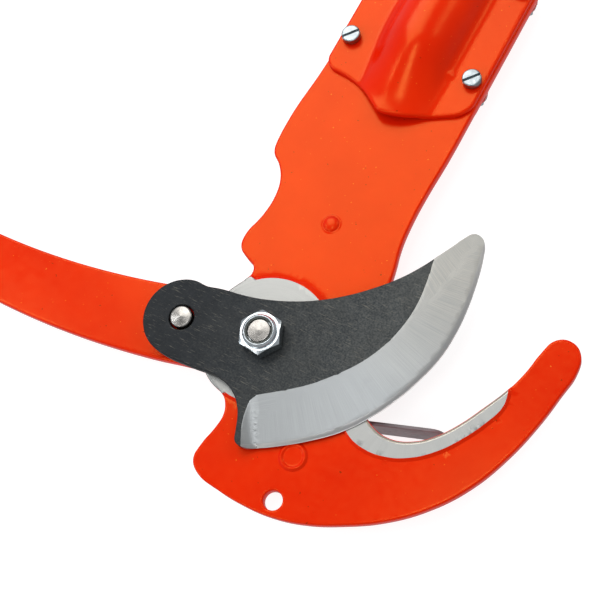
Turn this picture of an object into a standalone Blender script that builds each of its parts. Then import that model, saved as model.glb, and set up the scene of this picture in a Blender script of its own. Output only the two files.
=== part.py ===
"""Head of a rope-operated pole pruner, lying on its back.

The pivot axis is the Z axis and the pole's axis runs along +Y. The hook plate lies flat, with its
mid-plane at the height of the pole's axis. From the back to the front the stack is: bolt head,
washer, lever, hook plate, blade, lock nut.
"""

import math

import bmesh
import bpy
from mathutils import Matrix, Vector

MM = 0.001

# Clearances
GAP = 0.3  # between pieces that touch
HOLE_CLEARANCE = 0.3  # around a bolt or pin, on the radius

# Sheet, plate and blade
PLATE_THICKNESS = 5.0
PAD_HEIGHT = 1.0
PAD_RADIUS = 27.5
PAD_SLOPE = 1.3
BLADE_THICKNESS = 4.0
LEVER_THICKNESS = 5.0

# Pole socket
POLE_DIAMETER = 30.0
POLE_CLEARANCE = 0.3
SHEET_THICKNESS = 2.5
SOCKET_AXIS_X = -4.6
SOCKET_NOSE_Y = 111.0
SOCKET_LENGTH = 94.0
SOCKET_FLANGE = 20.5
PLATE_MARGIN = 0.6  # the plate shows this far past the shells
POLE_STOP_INSET = 39.0
NOSE_RISE = 4.4
VALLEY_RADIUS = 6.0
RIM_SLOPE = 0.5  # of the lower rim to the right of the axis
RIM_ROUND = 12.0
RIM_LEFT_RISE = 12.8
RIM_LEFT_RUN = 13.0
RIM_CORNER = 6.0
SCREW_RADIUS = 2.5
SCREW_HEAD_RADIUS = 4.2
SCREW_HEAD_HEIGHT = 3.3
SCREW_EDGE_INSET = 5.6
SCREW_FIRST_INSET = 29.6
SCREW_LAST_INSET = 15.0
FLANGE_NUT_RADIUS = 6.2
FLANGE_NUT_HEIGHT = 5.2
FLANGE_NUT_RIM = 1.4

# Pivot
PIVOT_RADIUS = 5.0
BUSH_WALL = 2.0
PIVOT_HEAD_HEIGHT = 6.4
PIVOT_ACROSS_FLATS = 2 * PIVOT_RADIUS + 7.0
NUT_HEX_HEIGHT = 6.2
NUT_COLLAR_HEIGHT = 2.0
NUT_COLLAR_RADIUS = PIVOT_RADIUS + 2.2

# Lever
LEVER_LENGTH = 198.0
LEVER_VERTEX_X = -140.0
LEVER_VERTEX_Y = -21.3
LEVER_CURVATURE = 0.00127
LEVER_ROOT_HALF_WIDTH = 17.2
LEVER_END_HALF_WIDTH = 12.0
HUB_RADIUS = 19.5
TAIL_LENGTH = 30.0
TAIL_HALF_WIDTH = 7.0

# Drive pin, at its place in the tail of the blade
PIN_X = -36.7
PIN_Y = -7.6
PIN_RADIUS = 4.75
PIN_HOLE_RADIUS = PIN_RADIUS + 0.75
PIN_PROUD = 1.6
TAIL_RADIUS = 17.1

# Rope pulley
SHEAVE_RADIUS = 17.0
SHEAVE_ROOT_RADIUS = 12.5
SHEAVE_WIDTH = 9.0
AXLE_RADIUS = 4.0
SHEAVE_BUSH_WALL = 1.5
CHEEK_THICKNESS = 2.5
SPACER_RADIUS = 4.5
SPACER_DISTANCE = 29.0
SHEAVE_WASHER = 1.0

# Spring and what holds it
WIRE_RADIUS = 0.6
COIL_RADIUS = 3.0
COIL_TURNS = 14
POST_RADIUS = 2.5
BRACKET_SHEET = 1.6
LUG_EYE_RADIUS = 3.6
LUG_EYE_HEIGHT = 7.5

# Heights of the stack, all from the pole's radius and the thicknesses
MID_Z = POLE_DIAMETER / 2 + POLE_CLEARANCE + SHEET_THICKNESS
BACK_Z = MID_Z - PLATE_THICKNESS / 2
FRONT_Z = MID_Z + PLATE_THICKNESS / 2
PAD_Z = FRONT_Z + PAD_HEIGHT
BLADE_LOW = PAD_Z + GAP
BLADE_TOP = BLADE_LOW + BLADE_THICKNESS
LEVER_TOP = BACK_Z - GAP
LEVER_LOW = LEVER_TOP - LEVER_THICKNESS
WASHER_THICKNESS = LEVER_LOW - 2 * GAP - PIVOT_HEAD_HEIGHT  # the bolt head then lies at height 0
SOCKET_HALF_WIDTH = POLE_DIAMETER / 2 + SOCKET_FLANGE
POLE_STOP_Y = SOCKET_NOSE_Y + POLE_STOP_INSET
SOCKET_TOP_Y = SOCKET_NOSE_Y + SOCKET_LENGTH
SPRING_Z = LEVER_LOW / 2

# Places on the plate
LUG_RIVET = (-0.3, 57.5)
SPRING_ANCHOR = (17.0, LUG_RIVET[1])
SPRING_POST = (TAIL_LENGTH - TAIL_HALF_WIDTH + 1.0, 0.0)  # in the tail of the lever
BRACKET_RIVET = (34.4, -38.0)
HOOK_HOLE = (35.5, -57.0)
HOOK_HOLE_RADIUS = 4.0
STOP_RADIUS = 3.0
STOP_STUD = (22.5, TAIL_HALF_WIDTH + GAP + STOP_RADIUS)  # touches the lever's tail when open

ORANGE = (0.80, 0.055, 0.006)
DARK_STEEL = (0.045, 0.052, 0.054)
ZINC = (0.60, 0.63, 0.65)
STEEL = (0.50, 0.49, 0.47)
BLACK = (0.012, 0.011, 0.012)
NYLON = (0.05, 0.055, 0.05)
BRONZE = (0.42, 0.27, 0.12)
PULLEY_NYLON = (0.02, 0.02, 0.02)


# ---------------------------------------------------------------- tools

def clear_scene():
    for old in list(bpy.data.objects):
        bpy.data.objects.remove(old, do_unlink=True)


def make_material(name, color, metallic, roughness):
    found = bpy.data.materials.new(name)
    found.use_nodes = True
    shader = found.node_tree.nodes["Principled BSDF"]
    shader.inputs["Base Color"].default_value = (*color, 1.0)
    shader.inputs["Metallic"].default_value = metallic
    shader.inputs["Roughness"].default_value = roughness
    return found


def new_object(name, mesh, collection, material=None):
    made = bpy.data.objects.new(name, mesh)
    collection.objects.link(made)
    if material is not None:
        made.data.materials.clear()
        made.data.materials.append(material)
    return made


def from_bmesh(name, shape, material=None):
    """An object in the parts' collection from a bmesh in millimetres, its faces turned outwards."""
    bmesh.ops.scale(shape, vec=(MM, MM, MM), verts=shape.verts)
    bmesh.ops.recalc_face_normals(shape, faces=shape.faces)
    mesh = bpy.data.meshes.new(name)
    shape.to_mesh(mesh)
    shape.free()
    return new_object(name, mesh, PARTS, material)


def settle(obj):
    """Replaces an object's data by its evaluated mesh, with loose caps welded."""
    bpy.context.view_layer.update()
    graph = bpy.context.evaluated_depsgraph_get()
    mesh = bpy.data.meshes.new_from_object(obj.evaluated_get(graph))
    shape = bmesh.new()
    shape.from_mesh(mesh)
    bmesh.ops.remove_doubles(shape, verts=shape.verts, dist=0.000002)
    bmesh.ops.recalc_face_normals(shape, faces=shape.faces)
    shape.to_mesh(mesh)
    shape.free()
    made = new_object(obj.name + "_mesh", mesh, PARTS)
    made.matrix_world = obj.matrix_world
    name = obj.name
    bpy.data.objects.remove(obj, do_unlink=True)
    made.name = name
    return made


def combine(target, tool, operation):
    """Cuts or joins target with tool, which is used up."""
    step = target.modifiers.new(operation.lower(), "BOOLEAN")
    step.object = tool
    step.operation = operation
    step.solver = "EXACT"
    material = target.data.materials[0] if target.data.materials else None
    target = settle(target)
    if material is not None:
        target.data.materials.clear()
        target.data.materials.append(material)
    bpy.data.objects.remove(tool, do_unlink=True)
    return target


def cylinder(name, radius, low, high, centre=(0.0, 0.0), sides=32, top_radius=None, material=None):
    shape = bmesh.new()
    bmesh.ops.create_cone(
        shape,
        cap_ends=True,
        segments=sides,
        radius1=radius,
        radius2=radius if top_radius is None else top_radius,
        depth=high - low,
        matrix=Matrix.Translation((centre[0], centre[1], (low + high) / 2)),
    )
    return from_bmesh(name, shape, material)


def turned(name, profile, centre, material, steps=32):
    """A solid of revolution about a vertical axis; profile is (radius, height) from top to bottom."""
    mesh = bpy.data.meshes.new(name)
    points = [(radius * MM, 0.0, height * MM) for radius, height in profile]
    edges = [(i, i + 1) for i in range(len(points) - 1)]
    if profile[0][0] > 0:
        edges.append((len(points) - 1, 0))
    mesh.from_pydata(points, edges, [])
    made = new_object(name, mesh, PARTS)
    made.location = (centre[0] * MM, centre[1] * MM, 0.0)
    screw = made.modifiers.new("turn", "SCREW")
    screw.angle = math.tau
    screw.steps = steps
    screw.render_steps = steps
    screw.use_merge_vertices = True
    screw.merge_threshold = 0.00001
    made = settle(made)
    made.data.materials.append(material)
    return made


def arc(centre, radius, start, end, count):
    """Points on an arc, with its angles in degrees."""
    points = []
    for i in range(count + 1):
        angle = math.radians(start + (end - start) * i / count)
        points.append((centre[0] + radius * math.cos(angle), centre[1] + radius * math.sin(angle)))
    return points


def flat_solid(name, low, high, smooth=None, poly=None, holes=(), resolution=5, material=None):
    """A plate between two heights. smooth is a list of (x, y) or (x, y, "corner") through which a
    Bezier outline runs, poly is a list of plain points, and holes are (x, y, radius)."""
    curve = bpy.data.curves.new(name, "CURVE")
    curve.dimensions = "2D"
    curve.fill_mode = "BOTH"
    curve.extrude = (high - low) / 2 * MM
    curve.resolution_u = resolution
    if smooth is not None:
        add_bezier(curve, smooth)
    if poly is not None:
        spline = curve.splines.new("POLY")
        spline.points.add(len(poly) - 1)
        for place, (x, y) in zip(spline.points, poly):
            place.co = (x * MM, y * MM, 0.0, 1.0)
        spline.use_cyclic_u = True
    for x, y, radius in holes:
        spline = curve.splines.new("POLY")
        ring = arc((x, y), radius, 0.0, 345.0, 23)
        spline.points.add(len(ring) - 1)
        for place, (px, py) in zip(spline.points, ring):
            place.co = (px * MM, py * MM, 0.0, 1.0)
        spline.use_cyclic_u = True
    made = new_object(name, curve, PARTS)
    made.location = (0.0, 0.0, (low + high) / 2 * MM)
    made = settle(made)
    if material is not None:
        made.data.materials.clear()
        made.data.materials.append(material)
    return made


def add_bezier(curve, points):
    spline = curve.splines.new("BEZIER")
    spline.bezier_points.add(len(points) - 1)
    for place, point in zip(spline.bezier_points, points):
        place.co = (point[0] * MM, point[1] * MM, 0.0)
        kind = "VECTOR" if len(point) == 3 else "AUTO"
        place.handle_left_type = kind
        place.handle_right_type = kind
    spline.use_cyclic_u = True


def smooth_path(points, count):
    """Evenly indexed points on a Catmull-Rom curve through the given points."""
    ends = [2 * Vector(points[0]) - Vector(points[1])]
    ends += [Vector(p) for p in points]
    ends.append(2 * Vector(points[-1]) - Vector(points[-2]))
    spans = len(points) - 1
    path = []
    for i in range(count + 1):
        place = min(i / count * spans, spans - 1e-9)
        k = int(place)
        t = place - k
        a, b, c, d = ends[k : k + 4]
        bend = (2 * a - 5 * b + 4 * c - d) * t**2 + (3 * b - a - 3 * c + d) * t**3
        path.append(0.5 * (2 * b + (c - a) * t + bend))
    return path


def loft(name, rows, material=None):
    """A closed solid through rows of points, each row a closed ring of the same length."""
    shape = bmesh.new()
    rings = [[shape.verts.new(p) for p in row] for row in rows]
    size = len(rings[0])
    for first, second in zip(rings, rings[1:]):
        for i in range(size):
            j = (i + 1) % size
            shape.faces.new((first[i], first[j], second[j], second[i]))
    shape.faces.new(rings[0])
    shape.faces.new(rings[-1])
    return from_bmesh(name, shape, material)


def hexagon(name, across_flats, low, high, centre, material, turn=0.0):
    radius = across_flats / math.sqrt(3)
    made = cylinder(name, radius, low, high, (0.0, 0.0), sides=6, material=material)
    made.data.transform(Matrix.Rotation(math.radians(turn), 4, "Z"))
    made.data.transform(Matrix.Translation((centre[0] * MM, centre[1] * MM, 0.0)))
    return made


# ---------------------------------------------------------------- hook plate

PLATE_RIGHT = SOCKET_AXIS_X + SOCKET_HALF_WIDTH + PLATE_MARGIN
PLATE_LEFT = SOCKET_AXIS_X - SOCKET_HALF_WIDTH - PLATE_MARGIN
BODY_OUTLINE_LEFT = [
    (-42.3, 84.0),
    (-40.6, 77.6),
    (-36.0, 73.6),
    (-31.8, 67.5),
    (-29.8, 59.0),
    (-30.4, 49.0),
    (-32.9, 38.0),
    (-31.6, 32.2),
    (-26.5, 28.9),
    (-22.0, 26.6),
    (-21.3, 22.2),
]
HOOK_OUTER = [
    (-2.6, -31.2),
    (-0.9, -35.5),
    (-1.2, -41.5),
    (-3.1, -50.5),
    (-2.9, -57.3),
    (2.2, -61.7),
    (12.0, -63.5),
    (25.0, -64.2),
    (38.3, -63.1),
    (51.8, -59.4),
    (65.7, -52.8),
    (79.6, -44.1),
    (92.8, -32.0),
    (103.1, -17.8),
    (110.5, -1.4),
    (115.5, 15.8),
    (118.3, 31.0),
    (119.8, 42.0),
    (117.9, 49.2),
    (112.3, 52.3),
    (106.6, 50.0),
    (103.8, 43.0),
]
THROAT = [
    (102.0, 34.0),
    (98.9, 24.2),
    (93.2, 12.4),
    (88.0, 2.9),
    (81.8, -5.4),
    (74.4, -11.4),
    (66.0, -14.2),
    (58.0, -13.0),
    (51.2, -8.6),
    (46.0, -1.5),
    (41.8, 9.0),
    (38.8, 22.0),
    (36.6, 36.0),
]
BODY_OUTLINE_RIGHT = [
    (34.4, 49.5),
    (31.8, 61.0),
    (30.7, 73.0),
    (30.6, 86.0),
    (31.4, 106.0),
]


def plate_outline():
    slot = POLE_DIAMETER / 2 + POLE_CLEARANCE + 0.2
    shoulder = arc((0.0, 0.0), PAD_RADIUS + PAD_SLOPE, 151.0, 259.0, 8)
    top = SOCKET_TOP_Y + 0.8
    upper = [
        (PLATE_RIGHT, SOCKET_NOSE_Y + 10.0, "corner"),
        (PLATE_RIGHT, top, "corner"),
        (SOCKET_AXIS_X + slot, top, "corner"),
        (SOCKET_AXIS_X + slot, POLE_STOP_Y, "corner"),
        (SOCKET_AXIS_X - slot, POLE_STOP_Y, "corner"),
        (SOCKET_AXIS_X - slot, top, "corner"),
        (PLATE_LEFT, top, "corner"),
        (PLATE_LEFT, SOCKET_NOSE_Y + 10.0, "corner"),
    ]
    return upper + BODY_OUTLINE_LEFT + shoulder + HOOK_OUTER + THROAT + BODY_OUTLINE_RIGHT


# Outer boundary of the raised counter-blade crescent, from its tip back under the blade
CRESCENT_OUTER = [
    (99.9, 21.0),
    (100.2, 16.0),
    (97.4, 8.2),
    (91.8, -2.0),
    (85.0, -10.9),
    (77.0, -17.6),
    (67.8, -21.7),
    (58.6, -22.6),
    (51.0, -20.6),
    (44.0, -14.5),
    (38.5, -4.5),
    (35.0, 8.0),
    (33.6, 20.0),
]


def crescent_outline():
    inner = THROAT[1:-1]
    return [(*inner[0], "corner")] + inner[1:-1] + [(*inner[-1], "corner")] + list(reversed(CRESCENT_OUTER))


def socket_screw_places():
    offset = SOCKET_HALF_WIDTH - SCREW_EDGE_INSET
    rows = (SOCKET_NOSE_Y + SCREW_FIRST_INSET, SOCKET_TOP_Y - SCREW_LAST_INSET)
    return [(SOCKET_AXIS_X + side * offset, row) for row in rows for side in (1, -1)]


def make_hook_plate(paint):
    plate = flat_solid("hook_plate", BACK_Z, FRONT_Z, smooth=plate_outline(), resolution=3)
    pad_foot = PAD_RADIUS + PAD_SLOPE
    pad = cylinder("pad", pad_foot, FRONT_Z - 0.6, PAD_Z, sides=64, top_radius=PAD_RADIUS - 0.6)
    plate = combine(plate, pad, "UNION")
    crescent = flat_solid("crescent", FRONT_Z - 0.5, PAD_Z, smooth=crescent_outline(), resolution=3)
    plate = combine(plate, crescent, "UNION")
    bores = [(0.0, 0.0, PIVOT_RADIUS + BUSH_WALL + 2 * HOLE_CLEARANCE)]
    bores.append((*LUG_RIVET, 2.5 + HOLE_CLEARANCE))
    bores.append((*BRACKET_RIVET, 4.0 + HOLE_CLEARANCE))
    bores.append((*STOP_STUD, 2.2 + HOLE_CLEARANCE))
    bores.append((*HOOK_HOLE, HOOK_HOLE_RADIUS))
    for place in socket_screw_places():
        bores.append((*place, SCREW_RADIUS + HOLE_CLEARANCE))
    for x, y, radius in bores:
        bore = cylinder("bore", radius, BACK_Z - 1.0, PAD_Z + 1.0, (x, y), sides=24)
        plate = combine(plate, bore, "DIFFERENCE")
    plate.data.materials.clear()
    plate.data.materials.append(paint)
    return plate


# ---------------------------------------------------------------- blade

BLADE_SPINE = [
    (-28.0, 10.6),
    (-14.0, 12.9),
    (-4.5, 15.6),
    (5.0, 19.4),
    (14.0, 24.2),
    (22.6, 30.1),
    (31.3, 37.6),
    (39.3, 46.0),
    (44.6, 53.2),
    (49.0, 60.6),
    (52.8, 68.0),
    (55.4, 73.4),
    (58.0, 76.8),
]
BLADE_EDGE = [
    (61.4, 76.9),
    (64.0, 74.5),
    (65.6, 70.2),
    (67.3, 63.8),
    (68.9, 55.0),
    (70.1, 45.0),
    (70.4, 35.5),
    (69.4, 24.0),
    (66.3, 12.6),
    (61.6, 0.8),
    (54.8, -11.4),
    (47.6, -20.7),
    (38.0, -29.4),
    (28.6, -36.3),
    (20.5, -41.4),
]
BLADE_HEEL = [
    (14.0, -44.4),
    (11.2, -43.6),
    (9.4, -40.0),
    (7.2, -34.6),
    (4.6, -30.4),
    (0.6, -26.7),
    (-4.6, -24.2),
    (-11.0, -23.2),
    (-20.0, -24.2),
]
BEVEL_LINE = [
    (43.0, 92.0),
    (45.6, 76.0),
    (48.4, 61.0),
    (50.4, 50.0),
    (51.3, 42.0),
    (51.2, 34.0),
    (49.6, 24.6),
    (46.4, 15.4),
    (41.6, 6.6),
    (35.0, -1.8),
    (27.2, -10.0),
    (18.6, -16.8),
    (9.6, -23.2),
]
# Where the bevel's slope meets the cutting edge, station for station with BEVEL_LINE
BEVEL_FOOT = [
    (66.0, 92.0),
    (65.2, 76.6),
    (67.9, 62.2),
    (69.9, 48.0),
    (70.4, 40.0),
    (70.3, 31.4),
    (68.7, 20.4),
    (65.4, 10.0),
    (60.4, -1.8),
    (52.4, -14.6),
    (40.4, -27.4),
    (27.4, -37.1),
    (14.6, -45.0),
]
EDGE_LAND = 0.25
BEVEL_FOOT_HEIGHT = 0.8
MICRO_WIDTH = 2.0


def bevel_cutter(name, inner, outer, inner_height, outer_height):
    """A cutter whose underside slopes from inner, at one height, down to outer, at another."""
    count = 40
    rows = []
    for a, b in zip(smooth_path(inner, count), smooth_path(outer, count)):
        away = (b - a).normalized()
        slope = (outer_height - inner_height) / (b - a).length
        far = b + away * 4.0
        over = a - away * 0.8
        rows.append(
            [
                (over.x, over.y, inner_height - slope * 0.8),
                (far.x, far.y, outer_height + slope * 4.0),
                (far.x, far.y, BLADE_TOP + 3.0),
                (over.x, over.y, BLADE_TOP + 3.0),
            ]
        )
    return loft(name, rows)


def make_blade(steel):
    tail = arc((PIN_X, PIN_Y), TAIL_RADIUS, 262.0, 80.0, 9)
    outline = BLADE_SPINE + BLADE_EDGE + BLADE_HEEL + tail
    blade = flat_solid("blade", BLADE_LOW, BLADE_TOP, smooth=outline, resolution=3)
    foot = BLADE_LOW + BEVEL_FOOT_HEIGHT
    cutter = bevel_cutter("bevel", BEVEL_LINE, BEVEL_FOOT, BLADE_TOP, foot)
    blade = combine(blade, cutter, "DIFFERENCE")
    micro_line = []
    for a, b in zip(BEVEL_LINE, BEVEL_FOOT):
        line, end = Vector(a), Vector(b)
        micro_line.append(end + (line - end).normalized() * MICRO_WIDTH)
    slope = (BLADE_TOP - foot) / 18.0
    micro = bevel_cutter(
        "micro", micro_line, BEVEL_FOOT, foot + slope * MICRO_WIDTH, BLADE_LOW + EDGE_LAND
    )
    blade = combine(blade, micro, "DIFFERENCE")
    for x, y, radius in ((0.0, 0.0, PIVOT_RADIUS + HOLE_CLEARANCE), (PIN_X, PIN_Y, PIN_HOLE_RADIUS)):
        bore = cylinder("bore", radius, BLADE_LOW - 1.0, BLADE_TOP + 1.0, (x, y), sides=32)
        blade = combine(blade, bore, "DIFFERENCE")
    blade.data.materials.clear()
    blade.data.materials.append(steel)
    return blade


# ---------------------------------------------------------------- lever

def lever_centre(x):
    return LEVER_VERTEX_Y + LEVER_CURVATURE * (x - LEVER_VERTEX_X) ** 2


def lever_edge(x, side):
    """A point on the lever's edge; side is +1 for the upper one."""
    share = min(1.0, max(0.0, (-x - 40.0) / (LEVER_LENGTH - 40.0)))
    half = LEVER_ROOT_HALF_WIDTH + (LEVER_END_HALF_WIDTH - LEVER_ROOT_HALF_WIDTH) * share
    slope = 2 * LEVER_CURVATURE * (x - LEVER_VERTEX_X)
    size = math.hypot(1.0, slope)
    return (x - side * half * slope / size, lever_centre(x) + side * half / size)


def axle_place():
    return (-LEVER_LENGTH, lever_centre(-LEVER_LENGTH))


def lever_outline():
    steps = 14
    first = -34.0
    run = [first + (-LEVER_LENGTH - first) * i / steps for i in range(steps + 1)]
    upper = [lever_edge(x, 1) for x in run]
    lower = [lever_edge(x, -1) for x in reversed(run)]
    end_slope = math.degrees(math.atan(2 * LEVER_CURVATURE * (-LEVER_LENGTH - LEVER_VERTEX_X)))
    end = arc(axle_place(), LEVER_END_HALF_WIDTH, 90.0 + end_slope, 270.0 + end_slope, 10)
    tail_angle = math.degrees(math.asin(TAIL_HALF_WIDTH / HUB_RADIUS))
    hub_low = arc((0.0, 0.0), HUB_RADIUS, 262.0, 360.0 - tail_angle, 6)
    hub_high = arc((0.0, 0.0), HUB_RADIUS, tail_angle, 108.0, 7)
    tail_end = TAIL_LENGTH - TAIL_HALF_WIDTH
    tail = arc((tail_end, 0.0), TAIL_HALF_WIDTH, -80.0, 80.0, 8)
    return upper + end[1:-1] + lower + hub_low + tail + hub_high


def make_lever(paint):
    pin_hole = (PIN_X, PIN_Y, PIN_RADIUS + HOLE_CLEARANCE)
    pivot_hole = (0.0, 0.0, PIVOT_RADIUS + HOLE_CLEARANCE)
    post_hole = (*SPRING_POST, POST_RADIUS + HOLE_CLEARANCE)
    axle_hole = (*axle_place(), AXLE_RADIUS + HOLE_CLEARANCE)
    spacer_hole = (*spacer_place(), 2.5 + HOLE_CLEARANCE)
    return flat_solid(
        "lever_arm",
        LEVER_LOW,
        LEVER_TOP,
        poly=lever_outline(),
        holes=(pin_hole, pivot_hole, post_hole, axle_hole, spacer_hole),
        material=paint,
    )


def spacer_place():
    x = -LEVER_LENGTH + SPACER_DISTANCE
    return (x, lever_centre(x))


# ---------------------------------------------------------------- pole socket

def socket_low_edge(offset):
    """Where the shell's lower rim lies, by distance from the pole's axis. It bulges on the left."""
    half = SOCKET_HALF_WIDTH
    distance = min(abs(offset), half)
    if offset < 0:
        edge = RIM_LEFT_RISE * (1.0 - math.exp(-((distance / RIM_LEFT_RUN) ** 1.5)))
    elif distance < RIM_ROUND:
        edge = RIM_SLOPE * distance**2 / (2 * RIM_ROUND)
    else:
        edge = RIM_SLOPE * (distance - RIM_ROUND / 2)
    inside = max(distance - (half - RIM_CORNER), 0.0)
    edge += RIM_CORNER - math.sqrt(max(RIM_CORNER**2 - inside**2, 0.0))
    return SOCKET_NOSE_Y + edge


def socket_section(rise, inner_radius):
    """The inner side of a shell across the pole, as (offset, height above the flange)."""
    flange_height = PLATE_THICKNESS / 2 + GAP
    chord = math.sqrt(inner_radius**2 - flange_height**2)
    radius = (chord**2 + rise**2) / (2 * rise)
    middle = rise - radius
    valley = VALLEY_RADIUS + SHEET_THICKNESS
    foot = math.sqrt((radius + valley) ** 2 - (valley - middle) ** 2)
    lean = math.degrees(math.atan2(foot, valley - middle))
    half = [(0.0, rise)]
    for offset, height in arc((0.0, middle), radius, 90.0, 90.0 - lean, 9)[1:]:
        half.append((offset, height))
    for offset, height in arc((foot, valley), valley, 270.0 - lean, 270.0, 4)[1:]:
        half.append((offset, height))
    edge = SOCKET_HALF_WIDTH
    for share in (0.3, 0.58, 0.76, 0.88, 0.95, 1.0):
        half.append((foot + (edge - foot) * share, 0.0))
    return [(-offset, height) for offset, height in reversed(half[1:])] + half


def make_socket_shell(name, side, paint):
    """Half of the pole socket; side is +1 for the front one and -1 for the back one."""
    inner_radius = POLE_DIAMETER / 2 + POLE_CLEARANCE
    flange = PLATE_THICKNESS / 2 + GAP
    full_rise = inner_radius - flange
    rows = 12
    shape = bmesh.new()
    columns = len(socket_section(full_rise, inner_radius))
    bmesh.ops.create_grid(shape, x_segments=columns - 1, y_segments=rows, size=0.5)
    shape.verts.ensure_lookup_table()
    for vert in shape.verts:
        column = round((vert.co.x + 0.5) * (columns - 1))
        share = vert.co.y + 0.5
        along = share**1.5
        opening = min(1.0, along * SOCKET_LENGTH / POLE_STOP_INSET)
        opening = opening * opening * (3.0 - 2.0 * opening)
        rise = NOSE_RISE + (full_rise - NOSE_RISE) * opening
        offset, height = socket_section(rise, inner_radius)[column]
        low = socket_low_edge(offset)
        vert.co = (
            SOCKET_AXIS_X + offset,
            low + (SOCKET_TOP_Y - low) * along,
            MID_Z + side * (flange + height),
        )
    if side < 0:
        bmesh.ops.reverse_faces(shape, faces=shape.faces)
    bmesh.ops.scale(shape, vec=(MM, MM, MM), verts=shape.verts)
    mesh = bpy.data.meshes.new(name)
    shape.to_mesh(mesh)
    shape.free()
    shell = new_object(name, mesh, PARTS, paint)
    thick = shell.modifiers.new("sheet", "SOLIDIFY")
    thick.thickness = SHEET_THICKNESS * MM
    thick.offset = 1.0
    thick.use_even_offset = True
    for x, y in socket_screw_places():
        bore = cylinder("bore", SCREW_RADIUS + HOLE_CLEARANCE, 0.0, 2 * MID_Z, (x, y), sides=24)
        shell = combine(shell, bore, "DIFFERENCE")
    return shell


def make_socket_fasteners(zinc):
    flange_top = FRONT_Z + GAP + SHEET_THICKNESS
    flange_back = BACK_Z - GAP - SHEET_THICKNESS
    for number, (x, y) in enumerate(socket_screw_places(), start=1):
        head_low = flange_top + GAP
        head_top = head_low + SCREW_HEAD_HEIGHT
        end = flange_back - GAP - FLANGE_NUT_HEIGHT - 1.2
        profile = [
            (0.0, head_top),
            (SCREW_HEAD_RADIUS - 0.5, head_top),
            (SCREW_HEAD_RADIUS, head_top - 0.5),
            (SCREW_HEAD_RADIUS, head_low),
            (SCREW_RADIUS, head_low),
            (SCREW_RADIUS, end + 0.6),
            (SCREW_RADIUS - 0.6, end),
            (0.0, end),
        ]
        screw = turned(f"socket_screw_{number}", profile, (x, y), zinc, steps=24)
        slot = bmesh.new()
        turn = Matrix.Rotation(math.radians(47.0), 4, "Z")
        place = Matrix.Translation((x, y, head_top))
        size = Matrix.Diagonal((12.0, 1.1, 2.4, 1.0))
        bmesh.ops.create_cube(slot, size=1.0, matrix=place @ turn @ size)
        combine(screw, from_bmesh("slot", slot), "DIFFERENCE")
        nut_top = flange_back - GAP
        nut_low = nut_top - FLANGE_NUT_HEIGHT
        nut = hexagon(f"socket_nut_{number}", 8.0, nut_low, nut_top - 0.4, (x, y), zinc, turn=15.0)
        rim_low = nut_top - FLANGE_NUT_RIM - 1.0
        flange = cylinder("flange", 4.6, rim_low, nut_top, (x, y), sides=24, top_radius=FLANGE_NUT_RADIUS)
        nut = combine(nut, flange, "UNION")
        bore = cylinder("bore", SCREW_RADIUS + HOLE_CLEARANCE, 0.0, MID_Z, (x, y), sides=24)
        combine(nut, bore, "DIFFERENCE")


# ---------------------------------------------------------------- pivot

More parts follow.
